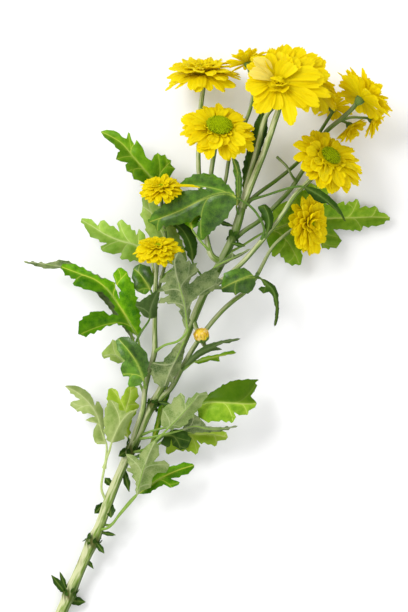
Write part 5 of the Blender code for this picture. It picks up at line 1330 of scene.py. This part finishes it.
def build_leaf(name, leaf, seed):
    """A leaf's blade with its veins, and the petiole that runs on as its midrib."""
    draw = random.Random(seed + 100)
    height = leaf_height(leaf)
    level, tip = leaf["heights"][1], leaf["tip"]
    corners = [np.array(place(*pixel, level).xy) for pixel in leaf["outline"]]
    outline, tips = soft_outline(corners, tip, draw)
    ribs = [np.array(place(*pixel, level).xy) for pixel in leaf["midrib"]]
    midrib = smooth_line([corners[0], *ribs, corners[tip]], RIB_SPACING)[:-1]
    lines = vein_lines([corners[at] for at in tips if at not in (0, tip)], midrib, outline)

    # The flat blade: its edge, a loose grid and the lines of the veins, joined by triangles.
    grid = well_inside(staggered_grid(outline, draw), outline, GRID_TO_EDGE)
    grid = grid[np.min([nearest_on(grid, line) for line, _ in lines], axis=0) > GRID_TO_VEIN]
    flat = np.vstack((outline, grid, vein_points(lines, outline)))
    count = len(outline)
    order = list(range(count)) if signed_area(outline) > 0 else list(range(count))[::-1]
    edges = [(index, (index + 1) % count) for index in range(count)]
    flat, _, triangles, *_ = delaunay_2d_cdt([Vector(p) for p in flat], edges, [order], 1, 1e-5)
    flat = np.array([tuple(point) for point in flat])

    # Its form: waves near the edge and quilted fields between the veins.
    strength, nearest = vein_marks(flat, lines)
    rim = np.exp(-nearest_on(flat, np.vstack((outline, outline[:1]))) / RIM_WIDTH)
    forward = corners[tip] - corners[0]
    forward = forward / np.linalg.norm(forward)
    left = np.array((-forward[1], forward[0]))
    along, across = (flat - corners[0]) @ forward, (flat - corners[0]) @ left
    under = "back" in leaf
    phase = draw.uniform(*PHASES)
    wave = WAVE_HEIGHT * rim * np.sin(along / WAVE_LENGTH + phase + 0.5 * np.sign(across))
    quilt = QUILT_HEIGHT * (1 - np.exp(-(nearest / QUILT_WIDTH) ** 2)) * (1 - 0.7 * rim)
    quilt *= -1 if under else 1
    z = height(flat) + wave * leaf.get("wave", 1.0) + quilt
    points = np.column_stack((flat, z))
    triangles, normals = upward(np.array([list(face) for face in triangles]), points)

    # Both sides, with raised veins on the under side and sunk ones on the upper side.
    half = HALF_THICKNESS - THINNER_RIM * rim
    bumps = (RAISED_VEIN, SUNK_VEIN) if under else (SUNK_VEIN, RAISED_VEIN)
    top, below = (points + side * normals * (half + bump * strength)[:, None]
                  for side, bump in zip((1, -1), bumps))
    size = len(points)
    faces = [tuple(face) for face in triangles] + [tuple(face[::-1] + size) for face in triangles]
    finishes = [int(under)] * len(triangles) + [int(not under)] * len(triangles)
    pairs = {(face[at], face[(at + 1) % 3]) for face in triangles.tolist() for at in range(3)}
    rim_faces = [(end, start, start + size, end + size)
                 for start, end in sorted(pairs) if (end, start) not in pairs]
    from_rib = across - np.interp(along, (midrib - corners[0]) @ forward,
                                  (midrib - corners[0]) @ left)
    # Painted shade darkens one half of the blade, and painted sheen lightens the blade beside its
    # veins (beside).
    painted_shade_half = (1 if left[0] > left[1] else -1) * leaf.get("painted_half_shade", 1)
    marks = dict(vein=strength, rim=rim, painted_half_shade=0.5 + 0.5 * np.tanh(from_rib / 1.1) * painted_shade_half,
                 beside=np.exp(-(nearest / PAINTED_SHEEN_WIDTH) ** 2))
    shape = Shape(*marks)
    shape.add(np.vstack((top, below)), faces + rim_faces, finishes + [0] * len(rim_faces),
              **{mark: np.tile(values, 2) for mark, values in marks.items()})
    add_petiole(shape, leaf, height, midrib)
    looks = [leaf_material(leaf.get("tone", "mid")), UNDERSIDE[leaf.get("back", "grey")],
             PETIOLES[leaf.get("petiole", "green")]]
    shape.piece(name + "_veined", looks, ["stem"] if leaf.get("with_stem") else [name],
                SOLID_SHARP)


def point_on_stem(route_name, pixel):
    """The point of a stem route nearest to a pixel."""
    control = MAIN_STEM if route_name == "main" else BRANCHES[route_name]
    found = [[a + (b - a) * step / 10 for a, b in zip(start, end)]
             for start, end in zip(control, control[1:]) for step in range(11)]
    point = min(found, key=lambda point: math.hypot(point[0] - pixel[0], point[1] - pixel[1]))
    return place(*point[:3])


def add_petiole(shape, leaf, height, midrib):
    """The petiole from the stem to the blade, and on along the midrib under the blade."""
    way = [np.array(place(*point)) for point in leaf.get("way", ())]
    grown_from = point_on_stem(*leaf["on"]) if "on" in leaf else way.pop(0)
    side = 1 if "back" in leaf else -1
    count = max(3, int(len(midrib) * 0.9))
    ribs = [np.array((*point, z + side * 0.25))
            for point, z in zip(midrib[:count], height(midrib)[:count])][::3]
    controls = [np.array(grown_from), *way, *ribs]
    at_stem, on_way, *on_blade = PETIOLE_RADII
    radii = [at_stem] + [on_way] * len(way) + list(np.linspace(*on_blade, len(ribs)))
    rows = smooth_route([(*point, radius) for point, radius in zip(controls, radii)], RIB_SPACING)
    rows[:, 3] *= 1 + 0.5 * np.exp(-run_along(rows[:, :3]) / 2.5)
    points, faces, _ = tube(rows, PETIOLE_SIDES, round_end=True)
    shape.add(points, faces, 2, vein=0.5)


# Materials


class Look:
    """A Principled material whose nodes are added one at a time."""

    def __init__(self, name, roughness, specular):
        self.material = bpy.data.materials.new(name)
        self.material.use_nodes = True
        self.tree = self.material.node_tree
        self.shader = self.tree.nodes["Principled BSDF"]
        self.shader.inputs["Roughness"].default_value = roughness
        self.shader.inputs["Specular IOR Level"].default_value = specular

    def node(self, kind, **settings):
        made = self.tree.nodes.new(kind)
        for name, value in settings.items():
            if hasattr(made, name):
                setattr(made, name, value)
            else:
                made.inputs[name.replace("_", " ")].default_value = value
        return made

    def link(self, out, to):
        self.tree.links.new(out, to)

    def fill(self, socket, value):
        """Links a socket, or sets it to a number or a colour."""
        if isinstance(value, bpy.types.NodeSocket):
            self.link(value, socket)
        else:
            socket.default_value = (*value, 1) if hasattr(value, "__len__") else value

    def sum(self, operation, one, two):
        made = self.node("ShaderNodeMath", operation=operation)
        self.fill(made.inputs[0], one)
        self.fill(made.inputs[1], two)
        return made.outputs[0]

    def times(self, one, two):
        return self.sum("MULTIPLY", one, two)

    def plus(self, one, two):
        return self.sum("ADD", one, two)

    def value(self, name, times=1):
        """A named value of the mesh."""
        found = self.node("ShaderNodeAttribute", attribute_name=name).outputs["Fac"]
        return found if times == 1 else self.times(found, times)

    def textured(self, kind, **settings):
        """A texture over the object's own places."""
        made = self.node(kind, **settings)
        self.link(self.node("ShaderNodeTexCoord").outputs["Object"], made.inputs["Vector"])
        return made

    def noise(self, scale, detail=3.0):
        return self.textured("ShaderNodeTexNoise", Scale=scale, Detail=detail).outputs["Fac"]

    def net(self, scale, width):
        """1 along the seams of a fine irregular net, 0 inside its cells."""
        cells = self.textured("ShaderNodeTexVoronoi", feature="DISTANCE_TO_EDGE", Scale=scale)
        return self.ramp(cells.outputs["Distance"], ((0.0, (1, 1, 1)), (width, (0, 0, 0))))

    def streaks(self, detail, *ways):
        """Noise over a place made of three named values, each times its own scale."""
        spread = self.node("ShaderNodeCombineXYZ")
        for axis, (name, scale) in enumerate(ways):
            self.link(self.value(name, scale), spread.inputs[axis])
        made = self.node("ShaderNodeTexNoise", Scale=1.0, Detail=detail)
        self.link(spread.outputs[0], made.inputs["Vector"])
        return made.outputs["Fac"]

    def ramp(self, source, stops):
        made = self.node("ShaderNodeValToRGB")
        points = made.color_ramp.elements
        while len(points) < len(stops):
            points.new(0.5)
        for point, (at, colour) in zip(points, stops):
            point.position = at
            point.color = (*colour, 1)
        self.link(source, made.inputs["Fac"])
        return made.outputs["Color"]

    def mix(self, share, one, two):
        made = self.node("ShaderNodeMix", data_type="RGBA")
        for value, socket in ((share, 0), (one, 6), (two, 7)):
            self.fill(made.inputs[socket], value)
        return made.outputs[2]

    def colour(self, source):
        self.link(source, self.shader.inputs["Base Color"])

    def bump(self, source, distance, strength):
        made = self.node("ShaderNodeBump", Distance=distance * MM, Strength=strength)
        self.link(source, made.inputs["Height"])
        self.link(made.outputs["Normal"], self.shader.inputs["Normal"])

    def glow_through(self, colour_source, share):
        """Lets light through a thin blade."""
        through = self.node("ShaderNodeBsdfTranslucent")
        self.link(colour_source, through.inputs["Color"])
        both = self.node("ShaderNodeMixShader")
        for socket, value in enumerate((share, self.shader.outputs[0], through.outputs[0])):
            self.fill(both.inputs[socket], value)
        self.link(both.outputs[0], self.tree.nodes["Material Output"].inputs["Surface"])


def darker(colour, share):
    return [channel * share for channel in colour]


def petal_look(name, root, middle, tip, shade):
    """A petal's colours along its length, with fine lines that run along it, darkened as painted
    shade in their grooves.
    """
    look = Look(name, 0.5, 0.1)
    base = look.ramp(look.value("along"), ((0.0, root), (0.35, middle), (1.0, tip)))
    lines = look.streaks(2.0, ("across", 7.0), ("along", 1.2), ("tone", 40.0))
    # Painted shade: the fine grooves are darkened towards the shade colour.
    painted_groove_shade = look.mix(look.times(look.sum("SUBTRACT", lines, 0.44), 2.6), base, shade)
    toned = look.mix(look.value("tone", 0.5), painted_groove_shade, shade)
    look.colour(toned)
    look.bump(lines, 0.5, 0.7)
    look.glow_through(toned, 0.5)
    return look.material


def bud_look():
    """Bud petals, each of its own tone between yellow, orange and cream, darkened at their roots as
    painted shade in the gaps.
    """
    look = Look("bud_petal_look", 0.6, 0.1)
    tones = ((0.0, (0.68, 0.52, 0.02)), (0.4, (0.62, 0.34, 0.02)), (0.65, (0.68, 0.48, 0.03)),
             (1.0, (0.74, 0.56, 0.26)))
    # Painted shade: each petal darkens towards its root, where the gaps between petals lie.
    painted_gap_shade = look.ramp(look.value("along"), ((0.0, (1, 1, 1)), (0.45, (0, 0, 0))))
    look.colour(look.mix(painted_gap_shade, look.ramp(look.value("tone"), tones), (0.22, 0.17, 0.005)))
    look.bump(look.noise(1800), 0.15, 0.5)
    return look.material


# Each tone of a leaf's upper side: its dark green, its light green and its veins. The tones hold
# the leaves' own greens and in part painted light: bright and yellow lighten leaves as if lit
# through from the side, and deep darkens leaves as painted shade where they lie in shade.
LEAF_TONES = {
    "deep": ((0.014, 0.05, 0.003), (0.05, 0.115, 0.010), (0.16, 0.24, 0.04)),
    "dark": ((0.014, 0.065, 0.001), (0.13, 0.32, 0.014), (0.56, 0.66, 0.09)),
    "mid": ((0.05, 0.18, 0.001), (0.18, 0.38, 0.008), (0.54, 0.64, 0.08)),
    "bright": ((0.02, 0.14, 0.0), (0.17, 0.43, 0.003), (0.68, 0.74, 0.09)),
    "lime": ((0.11, 0.28, 0.003), (0.33, 0.53, 0.03), (0.64, 0.73, 0.17)),
    "fresh": ((0.16, 0.34, 0.02), (0.37, 0.57, 0.08), (0.62, 0.72, 0.26)),
    "muted": ((0.19, 0.29, 0.05), (0.40, 0.49, 0.16), (0.58, 0.64, 0.30)),
    "pale": ((0.22, 0.38, 0.04), (0.43, 0.58, 0.13), (0.64, 0.72, 0.33)),
    "yellow": ((0.25, 0.44, 0.008), (0.47, 0.65, 0.06), (0.70, 0.78, 0.22)),
    "greydark": ((0.04, 0.085, 0.015), (0.10, 0.175, 0.04), (0.24, 0.32, 0.12)),
}
LEAF_GLOSS = {"dark": 0.34}
MATT_LEAF = 0.06
leaf_materials = {}


def leaf_material(tone):
    """The upper side of a leaf: mottled green, paler veins in a faint net, a slight gloss, painted
    sheen beside the veins and painted shade on one half.
    """
    if tone in leaf_materials:
        return leaf_materials[tone]
    low, high, vein = LEAF_TONES[tone]
    look = Look("leaf_" + tone, 0.3, LEAF_GLOSS.get(tone, MATT_LEAF))
    broad = look.plus(look.times(look.noise(90), 0.5), look.times(look.noise(270, 4), 0.5))
    # Painted sheen and shade: the blade is lighter beside the veins and darker in the fields
    # between them.
    mottled = look.ramp(look.plus(broad, look.value("beside", 0.15)), ((0.40, low), (0.70, high)))
    net = look.net(760, 0.1)
    netted = look.mix(look.times(net, 0.1), mottled, vein)
    rimmed = look.mix(look.value("rim", 0.3), netted, high)
    veined = look.mix(look.value("vein"), rimmed, vein)
    # Painted shade: one half of the blade is darkened towards its dark green.
    painted_half_shaded = look.mix(look.value("painted_half_shade", 0.45), veined, darker(low, 0.4))
    look.colour(painted_half_shaded)
    look.bump(look.sum("SUBTRACT", 1.0, look.times(net, 0.6)), 0.1, 0.4)
    look.glow_through(look.mix(0.2, painted_half_shaded, high), 0.16)
    leaf_materials[tone] = look.material
    return look.material


def underside_look(name, low, high, vein):
    """The felted under side of a leaf, paler than the upper side, with raised veins and one half
    darkened as painted shade.
    """
    look = Look(name, 0.8, 0.1)
    mottled = look.ramp(look.noise(150, 5), ((0.40, low), (0.60, high)))
    net = look.net(620, 0.12)
    netted = look.mix(look.times(net, 0.28), mottled, vein)
    veined = look.mix(look.value("vein"), netted, vein)
    # Painted shade: one half of the blade is darkened.
    painted_half_shaded = look.mix(look.value("painted_half_shade", 0.35), veined, darker(low, 0.6))
    look.colour(painted_half_shaded)
    felt = look.times(look.noise(2600, 2), 0.5)
    look.bump(look.plus(look.times(net, 0.6), felt), 0.12, 0.5)
    look.glow_through(painted_half_shaded, 0.12)
    return look.material


def stem_look():
    """Pale ribs on green, paler on the side turned to LIT_WAY and darker on the far side as painted
    light and shade, dark at nodes, brown where leaves broke off.
    """
    look = Look("stem_ribs", 0.55, 0.08)
    pale, green, dark = (0.62, 0.64, 0.36), (0.17, 0.28, 0.025), (0.045, 0.11, 0.005)
    # Long fine streaks: the pattern changes quickly round the stem and slowly along it.
    streaks = look.streaks(4.0, ("round_x", 1.9), ("round_y", 1.9), ("run", 0.07))
    # Painted light and shade: the side of the stem turned to LIT_WAY is paler, the far side darker.
    side = look.plus(look.value("lit", 0.5), look.times(streaks, 0.8))
    streaks_and_painted_side_light = look.ramp(look.times(side, 0.8), ((0.44, dark), (0.56, green), (0.67, pale)))
    ribbed = look.mix(look.value("rib", 0.26), streaks_and_painted_side_light, pale)
    toned = look.mix(look.value("dark"), ribbed, dark)
    noded = look.mix(look.value("node"), toned, (0.07, 0.115, 0.02))
    browned = look.mix(look.value("brown", 0.5), noded, (0.13, 0.085, 0.025))
    look.colour(browned)
    look.bump(look.noise(900), 0.12, 0.4)
    look.glow_through(browned, 0.06)
    return look.material


def plain_look(name, low, high, roughness):
    """A mottled material of two near colours."""
    look = Look(name, roughness, 0.2)
    look.colour(look.ramp(look.noise(400, 4), ((0.3, low), (0.7, high))))
    look.bump(look.noise(1200), 0.1, 0.5)
    return look.material


def value_look(name, value, from_colour, to_colour, tone_colour, roughness):
    """A material that follows a named value along each small part, and differs between parts."""
    look = Look(name, roughness, 0.06)
    base = look.ramp(look.value(value), ((0.0, from_colour), (1.0, to_colour)))
    look.colour(look.mix(look.value("tone", 0.5), base, tone_colour))
    look.bump(look.noise(1500), 0.1, 0.4)
    return look.material


PETAL = petal_look(
    "petal_yellow_look", (0.82, 0.70, 0.0), (0.93, 0.83, 0.002), (0.96, 0.88, 0.01),
    (0.90, 0.74, 0.0))
# A paler copy of the petal colour: a painted highlight on petals standing in the light.
PETAL_PAINTED_HIGHLIGHT = petal_look(
    "petal_painted_highlight_look", (0.92, 0.80, 0.02), (0.97, 0.90, 0.30), (0.98, 0.92, 0.42),
    (0.92, 0.80, 0.08))
BUD_LOOK = bud_look()
DISC = value_look("disc_floret_look", "tip", (0.12, 0.17, 0.0), (0.52, 0.66, 0.0),
                  (0.16, 0.19, 0.0), 0.6)
BRACT = value_look("bract_look", "vein", (0.11, 0.19, 0.035), (0.03, 0.07, 0.01),
                   (0.20, 0.28, 0.07), 0.8)
STEM = stem_look()
CUT_END = plain_look("cut_end_look", (0.50, 0.50, 0.28), (0.66, 0.64, 0.42), 0.7)
HAIR = plain_look("hair_look", (0.26, 0.33, 0.09), (0.38, 0.45, 0.17), 0.8)
PETIOLES = {
    "dark": plain_look("petiole_dark", (0.06, 0.13, 0.015), (0.11, 0.20, 0.03), 0.5),
    "green": plain_look("petiole_green", (0.17, 0.29, 0.04), (0.25, 0.38, 0.07), 0.5),
    "pale": plain_look("petiole_pale", (0.36, 0.46, 0.14), (0.48, 0.57, 0.22), 0.5),
}
UNDERSIDE = {
    "grey": underside_look("underside_grey", (0.08, 0.135, 0.035), (0.23, 0.29, 0.105),
                           (0.45, 0.50, 0.26)),
    "pale": underside_look("underside_pale", (0.17, 0.26, 0.06), (0.31, 0.39, 0.13),
                           (0.50, 0.58, 0.28)),
}


# Making the pieces

for seed, (name, bloom) in enumerate(BLOOMS.items(), 1):
    for build in (build_petals, build_disc, build_cup):
        build(name, bloom, flower_frame(bloom), BLOOM_RADIUS * bloom["size"], seed)
for seed, (name, leaf) in enumerate(LEAVES.items(), 1):
    build_leaf(name, leaf, seed)
build_stem()
build_leaflets()
build_bud()


# Floor, light and camera

FLOOR_HALF, FLOOR_LEVEL = 4.0, -0.0005  # in metres
WORLD_LIGHT = 0.8
# Each lamp's place, size in metres and power in watts, and the point that both face.
LAMPS = {"key": ((-0.95, 0.8, 1.2), 0.8, 21), "fill": ((0.9, -0.8, 1.6), 1.4, 8)}
LIT_POINT = Vector((0, 0.02, 0.03))
SENSOR = 36.0


def shown(name, data):
    """An object in the scene that is no part of the spray."""
    made = bpy.data.objects.new(name, data)
    bpy.context.scene.collection.objects.link(made)
    return made


floor_mesh = bpy.data.meshes.new("floor")
corners = [(x * FLOOR_HALF, y * FLOOR_HALF, FLOOR_LEVEL)
           for x, y in ((-1, -1), (1, -1), (1, 1), (-1, 1))]
floor_mesh.from_pydata(corners, [], [(0, 1, 2, 3)])
floor_look = Look("floor_look", 0.9, 0.1)
floor_look.colour(floor_look.ramp(
    floor_look.noise(3, 2), ((0.0, (0.90, 0.90, 0.90)), (1.0, (0.93, 0.93, 0.93)))))
floor_mesh.materials.append(floor_look.material)
floor = shown("floor", floor_mesh)

world = bpy.data.worlds.new("studio")
bpy.context.scene.world = world
world.use_nodes = True
world.node_tree.nodes["Background"].inputs["Color"].default_value = (1, 1, 1, 1)
world.node_tree.nodes["Background"].inputs["Strength"].default_value = WORLD_LIGHT

for name, (spot, size, power) in LAMPS.items():
    lamp_data = bpy.data.lights.new(name, "AREA")
    lamp_data.shape = "SQUARE"
    lamp_data.size = size
    lamp_data.energy = power
    lamp = shown(name, lamp_data)
    lamp.location = spot
    lamp.rotation_mode = "QUATERNION"
    lamp.rotation_quaternion = (Vector(spot) - LIT_POINT).to_track_quat("Z", "Y")

camera_data = bpy.data.cameras.new("camera")
camera_data.sensor_width = SENSOR
camera_data.lens = SENSOR * (EYE_HEIGHT - FOCUS_HEIGHT) / (PICTURE_HEIGHT * PIXEL)
camera_data.clip_start, camera_data.clip_end = 0.1, 20
camera = shown("camera", camera_data)
camera.location = (VIEW_PLACE[0] * MM, VIEW_PLACE[1] * MM, EYE_HEIGHT * MM)
bpy.context.scene.camera = camera
bpy.context.scene.view_settings.view_transform = "Standard"
